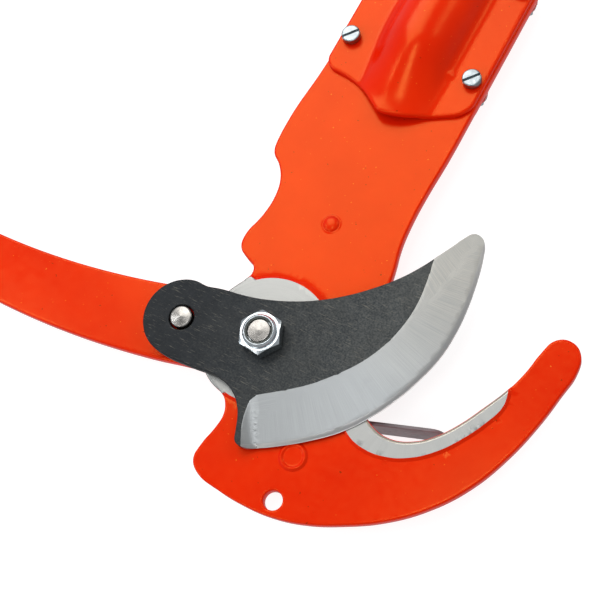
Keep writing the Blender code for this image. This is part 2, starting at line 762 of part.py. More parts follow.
def make_pivot(steel, zinc, nylon, bronze):
    washer_top = LEVER_LOW - GAP
    washer_low = washer_top - WASHER_THICKNESS
    head_top = washer_low - GAP
    head_low = head_top - PIVOT_HEAD_HEIGHT
    nut_low = BLADE_TOP + GAP
    hex_top = nut_low + NUT_HEX_HEIGHT
    collar_top = hex_top + NUT_COLLAR_HEIGHT
    bolt_top = collar_top - 0.2

    shank = [
        (0.0, bolt_top),
        (PIVOT_RADIUS - 1.0, bolt_top - 0.6),
        (PIVOT_RADIUS, bolt_top - 1.4),
        (PIVOT_RADIUS, head_top - 1.0),
        (0.0, head_top - 1.0),
    ]
    bolt = turned("pivot_bolt", shank, (0.0, 0.0), steel, steps=32)
    head = hexagon("head", PIVOT_ACROSS_FLATS, head_low, head_top, (0.0, 0.0), steel)
    combine(bolt, head, "UNION")

    ring = PIVOT_RADIUS + HOLE_CLEARANCE
    nut = hexagon("pivot_nut", PIVOT_ACROSS_FLATS, nut_low, hex_top, (0.0, 0.0), zinc, turn=23.6)
    chamfer = turned(
        "chamfer",
        [
            (0.0, collar_top + 1.0),
            (PIVOT_ACROSS_FLATS / 2 - 0.3, collar_top + 1.0),
            (PIVOT_ACROSS_FLATS / 2 - 0.3, hex_top),
            (PIVOT_ACROSS_FLATS / 2 + 2.2, hex_top - 1.5),
            (PIVOT_ACROSS_FLATS / 2 + 2.2, nut_low - 1.0),
            (0.0, nut_low - 1.0),
        ],
        (0.0, 0.0),
        zinc,
        steps=32,
    )
    nut = combine(nut, chamfer, "INTERSECT")
    collar = turned(
        "collar",
        [
            (0.0, collar_top),
            (NUT_COLLAR_RADIUS - 0.8, collar_top),
            (NUT_COLLAR_RADIUS, collar_top - 0.9),
            (NUT_COLLAR_RADIUS, hex_top - 1.0),
            (0.0, hex_top - 1.0),
        ],
        (0.0, 0.0),
        zinc,
        steps=32,
    )
    nut = combine(nut, collar, "UNION")
    nut = combine(nut, cylinder("bore", ring, nut_low - 1.0, collar_top + 1.0, sides=32), "DIFFERENCE")
    seat_radius = NUT_COLLAR_RADIUS - 0.9
    seat = cylinder("seat", seat_radius, hex_top - 0.9, collar_top + 1.0, sides=32)
    combine(nut, seat, "DIFFERENCE")
    turned(
        "nut_insert",
        [
            (ring, collar_top - 0.5),
            (seat_radius - GAP, collar_top - 0.5),
            (seat_radius - GAP, hex_top - 0.6),
            (ring, hex_top - 0.6),
        ],
        (0.0, 0.0),
        nylon,
        steps=32,
    )
    washer = PIVOT_ACROSS_FLATS / math.sqrt(3) + 0.6
    turned(
        "bolt_washer",
        [(ring, washer_top), (washer, washer_top), (washer, washer_low), (ring, washer_low)],
        (0.0, 0.0),
        zinc,
        steps=32,
    )
    turned(
        "pivot_bush",
        [
            (ring, PAD_Z),
            (ring + BUSH_WALL, PAD_Z),
            (ring + BUSH_WALL, BACK_Z),
            (ring, BACK_Z),
        ],
        (0.0, 0.0),
        bronze,
        steps=32,
    )


def make_drive_pin(steel):
    top = BLADE_TOP + PIN_PROUD
    profile = [
        (0.0, top),
        (PIN_RADIUS - 0.9, top - 0.35),
        (PIN_RADIUS, top - 1.1),
        (PIN_RADIUS, LEVER_LOW - GAP),
        (PIN_RADIUS + 1.8, LEVER_LOW - GAP),
        (PIN_RADIUS + 1.2, LEVER_LOW - GAP - 1.6),
        (0.0, LEVER_LOW - GAP - 2.2),
    ]
    turned("drive_pin", profile, (PIN_X, PIN_Y), steel, steps=32)


# ---------------------------------------------------------------- spring and its bracket

WALL_START = (37.0, -16.2)
WALL_END = (82.2, -0.8)
WALL_CORNER = 5.0


def make_bracket(coating):
    start = Vector(WALL_START)
    end = Vector(WALL_END)
    along = (end - start).normalized()
    down = Vector((along.y, -along.x))
    foot_top = BACK_Z - GAP
    foot_low = foot_top - BRACKET_SHEET
    rivet = Vector(BRACKET_RIVET)
    foot_end = start + along * 14.0 + down * 0.4
    foot_start = start + along * 1.0 + down * 0.4
    outline = [tuple(foot_start), tuple(foot_end)]
    outline += arc(tuple(rivet), 9.0, 10.0, -190.0, 10)
    foot = flat_solid(
        "spring_bracket",
        foot_low,
        foot_top,
        poly=outline,
        holes=((*BRACKET_RIVET, 4.0 + HOLE_CLEARANCE),),
    )
    length = (end - start).length
    corner = WALL_CORNER
    wall_outline = [(0.0, 0.0), (0.0, foot_top)]
    wall_outline += arc((length - corner, foot_top - corner), corner, 90.0, 0.0, 5)
    wall_outline += arc((length - corner, corner), corner, 0.0, -90.0, 5)
    wall = flat_solid("wall", 0.0, BRACKET_SHEET, poly=wall_outline)
    stand = Matrix((
        (along.x, 0.0, down.x, start.x * MM),
        (along.y, 0.0, down.y, start.y * MM),
        (0.0, 1.0, 0.0, 0.0),
        (0.0, 0.0, 0.0, 1.0),
    ))
    wall.data.transform(wall.matrix_world)
    wall.matrix_world = Matrix.Identity(4)
    wall.data.transform(stand)
    bracket = combine(foot, wall, "UNION")
    bracket.data.materials.clear()
    bracket.data.materials.append(coating)
    return bracket


def make_rivets(paint, steel):
    foot_low = BACK_Z - GAP - BRACKET_SHEET
    turned(
        "bracket_rivet",
        [
            (0.0, FRONT_Z + 0.2),
            (3.6, FRONT_Z + 0.2),
            (4.2, FRONT_Z + 1.0),
            (5.2, FRONT_Z + 1.1),
            (5.8, FRONT_Z + GAP),
            (4.0, FRONT_Z + GAP),
            (4.0, foot_low - GAP),
            (6.0, foot_low - GAP),
            (5.2, foot_low - GAP - 1.6),
            (0.0, foot_low - GAP - 2.2),
        ],
        BRACKET_RIVET,
        paint,
        steps=32,
    )
    lug_low = BACK_Z - GAP - 2.0
    turned(
        "lug_rivet",
        [
            (0.0, FRONT_Z + 1.1),
            (1.6, FRONT_Z + 1.0),
            (2.7, FRONT_Z + 0.7),
            (3.5, FRONT_Z + GAP),
            (2.5, FRONT_Z + GAP),
            (2.5, lug_low - GAP),
            (4.0, lug_low - GAP),
            (3.4, lug_low - GAP - 1.2),
            (0.0, lug_low - GAP - 1.8),
        ],
        LUG_RIVET,
        paint,
        steps=28,
    )
    turned(
        "stop_stud",
        [
            (0.0, PAD_Z - 0.1),
            (2.2, PAD_Z - 0.1),
            (2.2, BACK_Z - GAP),
            (STOP_RADIUS, BACK_Z - GAP),
            (STOP_RADIUS, LEVER_LOW),
            (STOP_RADIUS - 0.6, LEVER_LOW - 0.6),
            (0.0, LEVER_LOW - 0.6),
        ],
        STOP_STUD,
        steel,
        steps=24,
    )


def spring_neck():
    """The lower end of a post, from the neck that holds a spring's loop to the head below it."""
    return [
        (POST_RADIUS, SPRING_Z - 1.4),
        (POST_RADIUS + 1.3, SPRING_Z - 1.8),
        (POST_RADIUS + 1.3, SPRING_Z - 3.0),
        (0.0, SPRING_Z - 3.0),
    ]


def make_spring_post(steel):
    shoulder = LEVER_LOW - GAP
    profile = [
        (0.0, LEVER_TOP - 0.1),
        (POST_RADIUS, LEVER_TOP - 0.1),
        (POST_RADIUS, shoulder),
        (POST_RADIUS + 1.5, shoulder),
        (POST_RADIUS + 1.5, shoulder - 1.2),
        (POST_RADIUS, shoulder - 1.8),
    ]
    turned("spring_post", profile + spring_neck(), SPRING_POST, steel, steps=28)


def make_rope_lug(zinc):
    """A bent plate with an eye for the rope and a post for the spring."""
    top = BACK_Z - GAP
    x, y = LUG_RIVET
    outline = [(x - 7.0, y + 18.0)] + arc((x, y), 7.0, 180.0, 270.0, 6)
    outline += arc(SPRING_ANCHOR, 6.0, -90.0, 90.0, 10)
    outline += [(x + 10.5, y + 6.0), (x + 7.8, y + 7.2), (x + 7.0, y + 10.0), (x + 7.0, y + 18.0)]
    hole = (x, y, 2.5 + HOLE_CLEARANCE)
    foot = flat_solid("rope_lug", top - 2.0, top, poly=outline, holes=(hole,))
    ear = flat_solid(
        "ear",
        0.0,
        2.0,
        poly=[(-7.0, 0.0), (7.0, 0.0)] + arc((0.0, LUG_EYE_HEIGHT - top), 7.0, 0.0, -180.0, 12),
        holes=((0.0, LUG_EYE_HEIGHT - top, LUG_EYE_RADIUS),),
    )
    stand = Matrix((
        (1.0, 0.0, 0.0, x * MM),
        (0.0, 0.0, 1.0, (y + 17.0) * MM),
        (0.0, 1.0, 0.0, top * MM),
        (0.0, 0.0, 0.0, 1.0),
    ))
    ear.data.transform(ear.matrix_world)
    ear.matrix_world = Matrix.Identity(4)
    ear.data.transform(stand)
    lug = combine(foot, ear, "UNION")
    profile = [(0.0, top - 1.0), (POST_RADIUS, top - 1.0)] + spring_neck()
    post = turned("post", profile, SPRING_ANCHOR, zinc, steps=28)
    lug = combine(lug, post, "UNION")
    lug.data.materials.clear()
    lug.data.materials.append(zinc)
    return lug


def make_return_spring(steel):
    """A coil drawn between two loops, one on the lever's post and one on the rope lug's post."""
    start = Vector(SPRING_POST)
    end = Vector(SPRING_ANCHOR)
    along = (end - start).normalized()
    across = Vector((-along.y, along.x))
    loop = POST_RADIUS + GAP + WIRE_RADIUS
    coil_start = loop + 4.0
    coil_end = (end - start).length - loop - 4.0
    points = []

    def place(s, t, z):
        spot = start + along * s + across * t
        points.append((spot.x, spot.y, z))

    loop_steps = 12
    for i in range(loop_steps + 1):
        angle = math.radians(30.0 + 300.0 * i / loop_steps)
        place(loop * math.cos(angle), -loop * math.sin(angle), SPRING_Z)
    place(loop + 1.6, COIL_RADIUS * 0.75, SPRING_Z)
    per_turn = 8
    steps = COIL_TURNS * per_turn
    for i in range(steps + 1):
        angle = math.tau * COIL_TURNS * i / steps
        s = coil_start + (coil_end - coil_start) * i / steps
        place(s, COIL_RADIUS * math.cos(angle), SPRING_Z + COIL_RADIUS * math.sin(angle))
    far = (end - start).length
    place(far - loop - 1.6, COIL_RADIUS * 0.75, SPRING_Z)
    for i in range(loop_steps + 1):
        angle = math.radians(30.0 + 300.0 * (loop_steps - i) / loop_steps)
        place(far - loop * math.cos(angle), -loop * math.sin(angle), SPRING_Z)

    curve = bpy.data.curves.new("return_spring", "CURVE")
    curve.dimensions = "3D"
    curve.bevel_depth = WIRE_RADIUS * MM
    curve.bevel_resolution = 2
    curve.use_fill_caps = True
    spline = curve.splines.new("POLY")
    spline.points.add(len(points) - 1)
    for spot, (x, y, z) in zip(spline.points, points):
        spot.co = (x * MM, y * MM, z * MM, 1.0)
    made = settle(new_object("return_spring", curve, PARTS))
    made.data.materials.clear()
    made.data.materials.append(steel)


# ---------------------------------------------------------------- rope pulley

def make_pulley(zinc, nylon, bronze, steel):
    axle = axle_place()
    spacer = spacer_place()
    washer_low = LEVER_TOP + GAP
    sheave_low = washer_low + SHEAVE_WASHER + GAP
    sheave_top = sheave_low + SHEAVE_WIDTH
    front_low = sheave_top + GAP
    front_top = front_low + SHEAVE_WASHER
    cheek_low = front_top + GAP
    cheek_top = cheek_low + CHEEK_THICKNESS
    head_low = cheek_top + GAP
    bore = AXLE_RADIUS + HOLE_CLEARANCE
    bush = bore + SHEAVE_BUSH_WALL
    hub = bush + 0.3

    turned(
        "pulley_sheave",
        [
            (hub, sheave_top),
            (SHEAVE_RADIUS, sheave_top),
            (SHEAVE_RADIUS, sheave_top - 1.2),
            (SHEAVE_ROOT_RADIUS + 1.0, sheave_top - 2.8),
            (SHEAVE_ROOT_RADIUS, (sheave_low + sheave_top) / 2),
            (SHEAVE_ROOT_RADIUS + 1.0, sheave_low + 2.8),
            (SHEAVE_RADIUS, sheave_low + 1.2),
            (SHEAVE_RADIUS, sheave_low),
            (hub, sheave_low),
        ],
        axle,
        nylon,
        steps=32,
    )
    ring = [(bore, sheave_top), (bush, sheave_top), (bush, sheave_low), (bore, sheave_low)]
    turned("sheave_bush", ring, axle, bronze, steps=32)
    rear = [(bore, washer_low + SHEAVE_WASHER), (8.5, washer_low + SHEAVE_WASHER)]
    rear += [(8.5, washer_low), (bore, washer_low)]
    turned("sheave_washer_rear", rear, axle, zinc, steps=32)
    front = [(bore, front_top), (8.5, front_top), (8.5, front_low), (bore, front_low)]
    turned("sheave_washer_front", front, axle, zinc, steps=32)

    along = (Vector(spacer) - Vector(axle)).normalized()
    lean = math.degrees(math.atan2(along.y, along.x))
    outline = arc(axle, 12.0, lean + 78.0, lean + 282.0, 14)
    outline += arc(spacer, 7.5, lean - 78.0, lean + 78.0, 10)
    flat_solid(
        "pulley_cheek",
        cheek_low,
        cheek_top,
        poly=outline,
        holes=((*axle, bore), (*spacer, 2.5 + HOLE_CLEARANCE)),
        material=zinc,
    )

    head = hexagon("head", 13.0, head_low, head_low + 5.0, axle, zinc, turn=10.0)
    nut_top = LEVER_LOW - GAP
    shank = cylinder("pulley_axle", AXLE_RADIUS, 0.0, head_low + 1.0, axle, sides=32, material=zinc)
    combine(shank, head, "UNION")
    nut = hexagon("axle_nut", 13.0, nut_top - 8.0, nut_top, axle, zinc, turn=25.0)
    combine(nut, cylinder("bore", bore, -1.0, nut_top + 1.0, axle, sides=32), "DIFFERENCE")

    sleeve = [(2.5 + HOLE_CLEARANCE, cheek_low - GAP), (SPACER_RADIUS, cheek_low - GAP)]
    sleeve += [(SPACER_RADIUS, LEVER_TOP + GAP), (2.5 + HOLE_CLEARANCE, LEVER_TOP + GAP)]
    turned("cheek_spacer", sleeve, spacer, steel, steps=28)
    turned(
        "cheek_rivet",
        [
            (0.0, cheek_top + 2.2),
            (2.6, cheek_top + 1.8),
            (4.2, cheek_top + GAP),
            (2.5, cheek_top + GAP),
            (2.5, LEVER_LOW - GAP),
            (4.2, LEVER_LOW - GAP),
            (2.6, LEVER_LOW - 1.8),
            (0.0, LEVER_LOW - 2.2),
        ],
        spacer,
        steel,
        steps=28,
    )


# ---------------------------------------------------------------- assembly

HEAD_NODES = (
    "hook_plate front_socket_shell rear_socket_shell socket_screw_1 socket_screw_2 socket_screw_3 "
    "socket_screw_4 socket_nut_1 socket_nut_2 socket_nut_3 socket_nut_4 pivot_bush spring_bracket "
    "bracket_rivet rope_lug lug_rivet stop_stud return_spring"
).split()
LEVER_NODES = (
    "blade lever_arm pivot_bolt pivot_nut nut_insert bolt_washer drive_pin spring_post pulley_cheek "
    "pulley_axle axle_nut cheek_spacer cheek_rivet sheave_bush sheave_washer_front sheave_washer_rear"
).split()


def parent_to(empty_name, place, names, above=None):
    """An empty on a joint's axis, which the named parts hang from."""
    empty = bpy.data.objects.new(empty_name, None)
    PARTS.objects.link(empty)
    empty.location = (place[0] * MM, place[1] * MM, place[2] * MM)
    if above is not None:
        empty.parent = above
        empty.matrix_parent_inverse = above.matrix_world.inverted()
    bpy.context.view_layer.update()
    for name in names:
        part = bpy.data.objects[name]
        part.parent = empty
        part.matrix_parent_inverse = empty.matrix_world.inverted()
    return empty


def shade(part):
    part.data.shade_smooth()
    part.data.set_sharp_from_angle(angle=math.radians(28.0))


def build():
    paint = make_material("orange_paint", ORANGE, 0.0, 0.25)
    dark = make_material("dark_steel", DARK_STEEL, 0.6, 0.5)
    zinc = make_material("zinc", ZINC, 1.0, 0.3)
    steel = make_material("bright_steel", STEEL, 1.0, 0.35)
    black = make_material("black_coating", BLACK, 0.0, 0.45)
    nylon = make_material("lock_ring", NYLON, 0.0, 0.5)
    bronze = make_material("bronze", BRONZE, 1.0, 0.4)
    pulley = make_material("pulley_nylon", PULLEY_NYLON, 0.0, 0.5)

    make_hook_plate(paint)
    make_blade(dark)
    make_lever(paint)
    make_socket_shell("front_socket_shell", 1, paint)
    make_socket_shell("rear_socket_shell", -1, paint)
    make_socket_fasteners(zinc)
    make_pivot(steel, zinc, nylon, bronze)
    make_drive_pin(steel)
    make_spring_post(steel)
    make_bracket(black)
    make_rivets(paint, steel)
    make_rope_lug(zinc)
    make_return_spring(steel)
    make_pulley(zinc, pulley, bronze, steel)

    head = parent_to("head_frame", (0.0, 0.0, 0.0), HEAD_NODES)
    lever = parent_to("pivot_axis", (0.0, 0.0, 0.0), LEVER_NODES, head)
    parent_to("sheave_axis", (*axle_place(), 0.0), ["pulley_sheave"], lever)
    for part in PARTS.objects:
        if part.type == "MESH":
            shade(part)


clear_scene()
PARTS = bpy.data.collections.new("pole_pruner_head")
bpy.context.scene.collection.children.link(PARTS)
build()
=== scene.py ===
"""Looks of the pole pruner head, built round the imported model."""

import math

import bmesh
import bpy
import numpy as np
from mathutils import Matrix, Vector
from mathutils.bvhtree import BVHTree
from mathutils.geometry import delaunay_2d_cdt


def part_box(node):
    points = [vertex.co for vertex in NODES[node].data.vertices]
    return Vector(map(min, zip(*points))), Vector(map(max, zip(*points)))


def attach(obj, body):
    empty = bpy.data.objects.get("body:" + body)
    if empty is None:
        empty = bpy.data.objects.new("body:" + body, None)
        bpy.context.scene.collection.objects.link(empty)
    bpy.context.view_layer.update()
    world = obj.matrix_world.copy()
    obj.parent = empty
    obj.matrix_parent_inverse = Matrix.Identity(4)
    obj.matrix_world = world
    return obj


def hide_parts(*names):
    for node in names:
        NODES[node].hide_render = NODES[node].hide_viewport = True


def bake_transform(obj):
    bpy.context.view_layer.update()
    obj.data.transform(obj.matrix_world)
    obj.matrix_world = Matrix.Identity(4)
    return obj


MM = 0.001
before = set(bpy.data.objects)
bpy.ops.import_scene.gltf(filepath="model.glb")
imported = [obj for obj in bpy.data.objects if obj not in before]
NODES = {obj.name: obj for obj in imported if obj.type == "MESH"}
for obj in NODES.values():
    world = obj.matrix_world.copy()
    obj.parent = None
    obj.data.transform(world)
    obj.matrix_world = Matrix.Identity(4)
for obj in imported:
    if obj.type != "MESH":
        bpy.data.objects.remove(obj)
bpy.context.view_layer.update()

PAD_HEIGHT = 1.0 * MM
PLATE_LOW, PAD_Z = (corner.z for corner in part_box("hook_plate"))
FRONT_Z = PAD_Z - PAD_HEIGHT
BLADE_LOW, BLADE_TOP = (corner.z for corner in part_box("blade"))
LEVER_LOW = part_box("lever_arm")[0].z


def centre(node):
    low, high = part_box(node)
    return (low + high) / 2


# ---------------------------------------------------------------- materials

class Finish:
    """A Principled material and the nodes that feed it."""

    def __init__(self, name, color, metallic, roughness):
        self.material = bpy.data.materials.new(name)
        self.material.use_nodes = True
        self.tree = self.material.node_tree
        self.shader = self.tree.nodes["Principled BSDF"]
        self.shader.inputs["Base Color"].default_value = (*color, 1.0)
        self.shader.inputs["Metallic"].default_value = metallic
        self.shader.inputs["Roughness"].default_value = roughness
        self.place = self.tree.nodes.new("ShaderNodeTexCoord").outputs["Object"]

    def link(self, source, target):
        self.tree.links.new(source, target)

    def stretched(self, scale, turn=0.0, place=None):
        mapping = self.tree.nodes.new("ShaderNodeMapping")
        mapping.inputs["Scale"].default_value = scale
        mapping.inputs["Rotation"].default_value = (0.0, 0.0, turn)
        self.link(place or self.place, mapping.inputs["Vector"])
        return mapping.outputs["Vector"]

    def axis(self, name):
        """One coordinate of the place, in metres."""
        split = self.tree.nodes.new("ShaderNodeSeparateXYZ")
        self.link(self.place, split.inputs[0])
        return split.outputs[name]

    def noise(self, scale, detail=3.0, place=None):
        made = self.tree.nodes.new("ShaderNodeTexNoise")
        made.inputs["Scale"].default_value = scale
        made.inputs["Detail"].default_value = detail
        made.inputs["Roughness"].default_value = 0.55
        self.link(place or self.place, made.inputs["Vector"])
        return made.outputs["Fac"]

    def spread(self, value, low, high, to_low=0.0, to_high=1.0):
        made = self.tree.nodes.new("ShaderNodeMapRange")
        limits = {"From Min": low, "From Max": high, "To Min": to_low, "To Max": to_high}
        for name, number in limits.items():
            made.inputs[name].default_value = number
        self.link(value, made.inputs["Value"])
        return made.outputs["Result"]

    def math(self, kind, first, second):
        made = self.tree.nodes.new("ShaderNodeMath")
        made.operation = kind
        for socket, value in zip(made.inputs, (first, second)):
            if isinstance(value, (int, float)):
                socket.default_value = value
            else:
                self.link(value, socket)
        return made.outputs["Value"]

    def mix(self, factor, first, second):
        made = self.tree.nodes.new("ShaderNodeMix")
        made.data_type = "RGBA"
        self.link(factor, made.inputs["Factor"])
        for socket, value in zip((made.inputs[6], made.inputs[7]), (first, second)):
            if isinstance(value, tuple):
                socket.default_value = (*value, 1.0)
            else:
                self.link(value, socket)
        return made.outputs[2]

    def color(self, value):
        self.link(value, self.shader.inputs["Base Color"])

    def roughness(self, value):
        self.link(value, self.shader.inputs["Roughness"])

    def bump(self, height, distance, strength=1.0):
        made = self.tree.nodes.new("ShaderNodeBump")
        made.inputs["Strength"].default_value = strength
        made.inputs["Distance"].default_value = distance
        self.link(height, made.inputs["Height"])
        before = self.shader.inputs["Normal"]
        if before.is_linked:
            self.link(before.links[0].from_socket, made.inputs["Normal"])
        self.link(made.outputs["Normal"], before)


def orange_paint():
    paint = Finish("orange_paint", (0.80, 0.03, 0.001), 0.0, 0.2)
    cloud = paint.spread(paint.noise(38.0), 0.3, 0.7)
    tone = paint.mix(cloud, (0.71, 0.009, 0.0002), (0.78, 0.015, 0.0004))
    fleck = paint.spread(paint.noise(900.0, 1.0), 0.775, 0.80)
    tone = paint.mix(fleck, tone, (0.87, 0.16, 0.02))
    speck = paint.spread(paint.noise(620.0, 1.0), 0.225, 0.20)
    tone = paint.mix(speck, tone, (0.30, 0.01, 0.0))
    paint.color(tone)
    paint.roughness(paint.spread(paint.noise(300.0), 0.3, 0.7, 0.17, 0.25))
    paint.shader.inputs["Specular IOR Level"].default_value = 0.5
    paint.shader.inputs["Specular Tint"].default_value = (1.0, 0.56, 0.12, 1.0)
    paint.bump(paint.noise(420.0, 2.0), 0.00005, 0.35)
    paint.bump(paint.noise(90.0, 1.0), 0.0003, 0.12)
    return paint.material


def dark_steel():
    """Blackened steel, darkest at the blade's tail."""
    steel = Finish("dark_blade_steel", (0.05, 0.06, 0.063), 0.55, 0.45)
    cloud = steel.spread(steel.noise(45.0, 4.0), 0.3, 0.7)
    tone = steel.mix(cloud, (0.022, 0.027, 0.031), (0.040, 0.043, 0.042))
    mottle = steel.spread(steel.noise(1300.0, 3.0), 0.35, 0.7)
    tone = steel.mix(mottle, tone, (0.072, 0.075, 0.072))
    from_tail = steel.spread(steel.axis("X"), -30.0 * MM, 45.0 * MM, 0.15, 1.0)
    tone = steel.mix(from_tail, (0.008, 0.010, 0.013), tone)
    marks = None
    for turn, low in ((0.5, 0.665), (-0.65, 0.67), (1.9, 0.68), (2.7, 0.68)):
        run = steel.stretched((160.0, 2600.0, 300.0), turn)
        mark = steel.spread(steel.noise(1.0, 2.0, run), low, low + 0.06)
        marks = mark if marks is None else steel.math("MAXIMUM", marks, mark)
    tone = steel.mix(steel.math("MULTIPLY", marks, 0.4), tone, (0.20, 0.185, 0.15))
    steel.color(tone)
    steel.roughness(steel.spread(steel.noise(210.0, 4.0), 0.3, 0.7, 0.40, 0.56))
    steel.shader.inputs["Specular IOR Level"].default_value = 0.3
    steel.bump(steel.noise(1500.0, 3.0), 0.00004, 0.5)
    steel.bump(steel.noise(160.0, 3.0), 0.0002, 0.15)
    return steel.material


def ground_steel(name, cool, warm, rough, lines, cut=0.6, stained=0.35, fade=None):
    """Bare ground steel. The grain map runs along the ground edge in millimetres. The two tones
    lie in bands, or fade from warm to cool between two places on the Y axis."""
    steel = Finish(name, cool, 0.85, rough)
    uv = steel.tree.nodes.new("ShaderNodeUVMap")
    uv.uv_map = "grain"
    fine = steel.stretched((5.5, 0.05, 1.0), place=uv.outputs["UV"])
    wide = steel.stretched((0.42, 0.03, 1.0), place=uv.outputs["UV"])
    grain = steel.noise(1.0, 4.0, fine)
    bands = steel.noise(1.0, 3.0, wide)
    if fade is None:
        tone = steel.mix(steel.spread(bands, 0.3, 0.7), cool, warm)
    else:
        tone = steel.mix(steel.spread(steel.axis("Y"), *fade), warm, cool)
    dull = tuple(0.86 * c for c in cool)
    tone = steel.mix(steel.spread(grain, 0.25, 0.75, 0.0, lines), tone, dull)
    stain = steel.spread(steel.noise(70.0, 4.0), 0.62, 0.78, 0.0, stained)
    tone = steel.mix(stain, tone, tuple(0.62 * c for c in cool))
    steel.color(tone)
    steel.roughness(steel.spread(grain, 0.2, 0.8, rough - 0.1 * cut, rough + 0.1 * cut))
    steel.bump(grain, 0.00003, cut)
    return steel.material


def plain_metal(name, color, rough, dirt=0.25):
    metal = Finish(name, color, 1.0, rough)
    cloud = metal.spread(metal.noise(260.0, 4.0), 0.35, 0.75, 0.0, dirt)
    tone = metal.mix(cloud, color, tuple(0.55 * c for c in color))
    metal.color(tone)
    metal.roughness(metal.spread(metal.noise(700.0, 3.0), 0.3, 0.7, rough - 0.06, rough + 0.08))
    metal.bump(metal.noise(1800.0, 2.0), 0.00003, 0.4)
    return metal.material


def satin(name, color, rough):
    coat = Finish(name, color, 0.0, rough)
    cloud = coat.spread(coat.noise(200.0, 4.0), 0.3, 0.7)
    coat.color(coat.mix(cloud, color, tuple(1.5 * c + 0.004 for c in color)))
    coat.roughness(coat.spread(coat.noise(500.0), 0.3, 0.7, rough - 0.06, rough + 0.08))
    coat.bump(coat.noise(900.0, 2.0), 0.00008, 0.4)
    return coat.material


PAINT = orange_paint()
DARK = dark_steel()
BEVEL = ground_steel(
    "ground_bevel", (0.37, 0.383, 0.385), (0.56, 0.535, 0.475), 0.42, 1.0, 0.8, 0.2, fade=(55.0 * MM, 0.0)
)
MICRO = ground_steel("ground_edge", (0.46, 0.46, 0.46), (0.50, 0.49, 0.47), 0.30, 0.2, 0.05, 0.1)
PAD = ground_steel("ground_pad", (0.37, 0.37, 0.355), (0.335, 0.34, 0.33), 0.40, 0.8, stained=0.1)
# Bare ground steel on the chamfer; its lighter, warmer tone than the pad is painted reflection.
CHAMFER_STEEL_AND_PAINTED_REFLECTION = ground_steel("ground_chamfer_and_painted_reflection", (0.54, 0.50, 0.42), (0.50, 0.465, 0.40), 0.34, 0.4, 0.3)
ZINC = plain_metal("zinc", (0.62, 0.67, 0.70), 0.17)
SCREW = plain_metal("zinc_screws", (0.34, 0.38, 0.40), 0.3, 0.8)
TURNED = plain_metal("bright_steel", (0.34, 0.325, 0.305), 0.25, 0.45)
# Black coating whose base colour is lifted to a purplish grey: painted reflection on the semi-glossy black.
COAT_AND_PAINTED_REFLECTION = satin("black_coating", (0.13, 0.105, 0.11), 0.35)
LOCK = satin("lock_ring", (0.035, 0.042, 0.036), 0.45)
BRONZE = plain_metal("bronze", (0.45, 0.30, 0.14), 0.4)
NYLON = satin("black_nylon", (0.018, 0.018, 0.018), 0.42)


# ---------------------------------------------------------------- outlines

def welded(node):
    """The CAD node as an editable mesh with its doubled points joined."""
    shape = bmesh.new()
    shape.from_mesh(NODES[node].data)
    bmesh.ops.remove_doubles(shape, verts=shape.verts, dist=2e-6)
    return shape


def flat_loops(node, height):
    """Closed outlines of a node's flat face at a height, the longest first, in metres."""
    shape = welded(node)
    flat = []
    for face in shape.faces:
        if abs(face.normal.z) > 0.9 and all(abs(v.co.z - height) < 2e-5 for v in face.verts):
            flat.append(face)
    known = set(flat)
    following = {}
    for face in flat:
        for corner in face.loops:
            if not any(other in known for other in corner.edge.link_faces if other is not face):
                following[corner.vert] = corner.link_loop_next.vert
    loops = []
    while following:
        vert, after = following.popitem()
        loop = [vert.co.xy.copy()]
        while after in following:
            loop.append(after.co.xy.copy())
            after = following.pop(after)
        if len(loop) > 2:
            loops.append(loop)
    shape.free()
    return sorted(loops, key=lambda loop: -length_of(loop + loop[:1]))


def length_of(line):
    return sum((b - a).length for a, b in zip(line, line[1:]))


def as_array(points):
    return np.array([tuple(p) for p in points])


def constant(value):
    """A function that gives the value at every point."""
    return lambda points: np.full(len(points), value)


def signed_area(loop):
    return sum(a.cross(b) for a, b in zip(loop, loop[1:] + loop[:1])) / 2


def refined(loop, step, corner=38.0, nearest=0.12 * MM):
    """The loop as a smooth curve with points about a step apart. Sharp corners stay."""
    kept = []
    for point in loop:
        if not kept or (point - kept[-1]).length > nearest:
            kept.append(point)
    while (kept[0] - kept[-1]).length < nearest:
        kept.pop()
    count = len(kept)
    limit = math.radians(corner)
    sharp = []
    for i in range(count):
        before = kept[i] - kept[i - 1]
        after = kept[(i + 1) % count] - kept[i]
        sharp.append(before.angle(after, 0.0) > limit)
    points = []
    for i in range(count):
        a, b, c, d = kept[i - 1], kept[i], kept[(i + 1) % count], kept[(i + 2) % count]
        span = (c - b).length
        first = second = c - b
        if not sharp[i]:
            back = (b - a).length
            first = ((b - a) / back * span + (c - b) / span * back) / (back + span) * span
        if not sharp[(i + 1) % count]:
            on = (d - c).length
            second = ((c - b) / span * on + (d - c) / on * span) / (on + span) * span
        pieces = max(1, round(span / step))
        for k in range(pieces):
            t = k / pieces
            spot = (2 * t**3 - 3 * t**2 + 1) * b + (t**3 - 2 * t**2 + t) * first
            points.append(spot + (3 * t**2 - 2 * t**3) * c + (t**3 - t**2) * second)
    return points


def offset(loop, distance):
    """The loop moved to its left by a distance, with mitred corners."""
    count = len(loop)
    moved = []
    for i in range(count):
        a = (loop[i] - loop[i - 1]).normalized()
        b = (loop[(i + 1) % count] - loop[i]).normalized()
        side = Vector((-a.y - b.y, a.x + b.x))
        if side.length < 1e-6:
            side = Vector((-a.y, a.x))
        side.normalize()
        bend = max(0.5, side.dot(Vector((-a.y, a.x))))
        moved.append(loop[i] + side * (distance / bend))
    return moved


def inside(points, loops):
    """Even-odd test of an array of points against loops."""
    hit = np.zeros(len(points), bool)
    x, y = points[:, 0], points[:, 1]
    for loop in loops:
        for a, b in zip(loop, loop[1:] + loop[:1]):
            if a.y == b.y:
                continue
            crosses = (a.y > y) != (b.y > y)
            hit ^= crosses & (x < a.x + (y - a.y) * (b.x - a.x) / (b.y - a.y))
    return hit


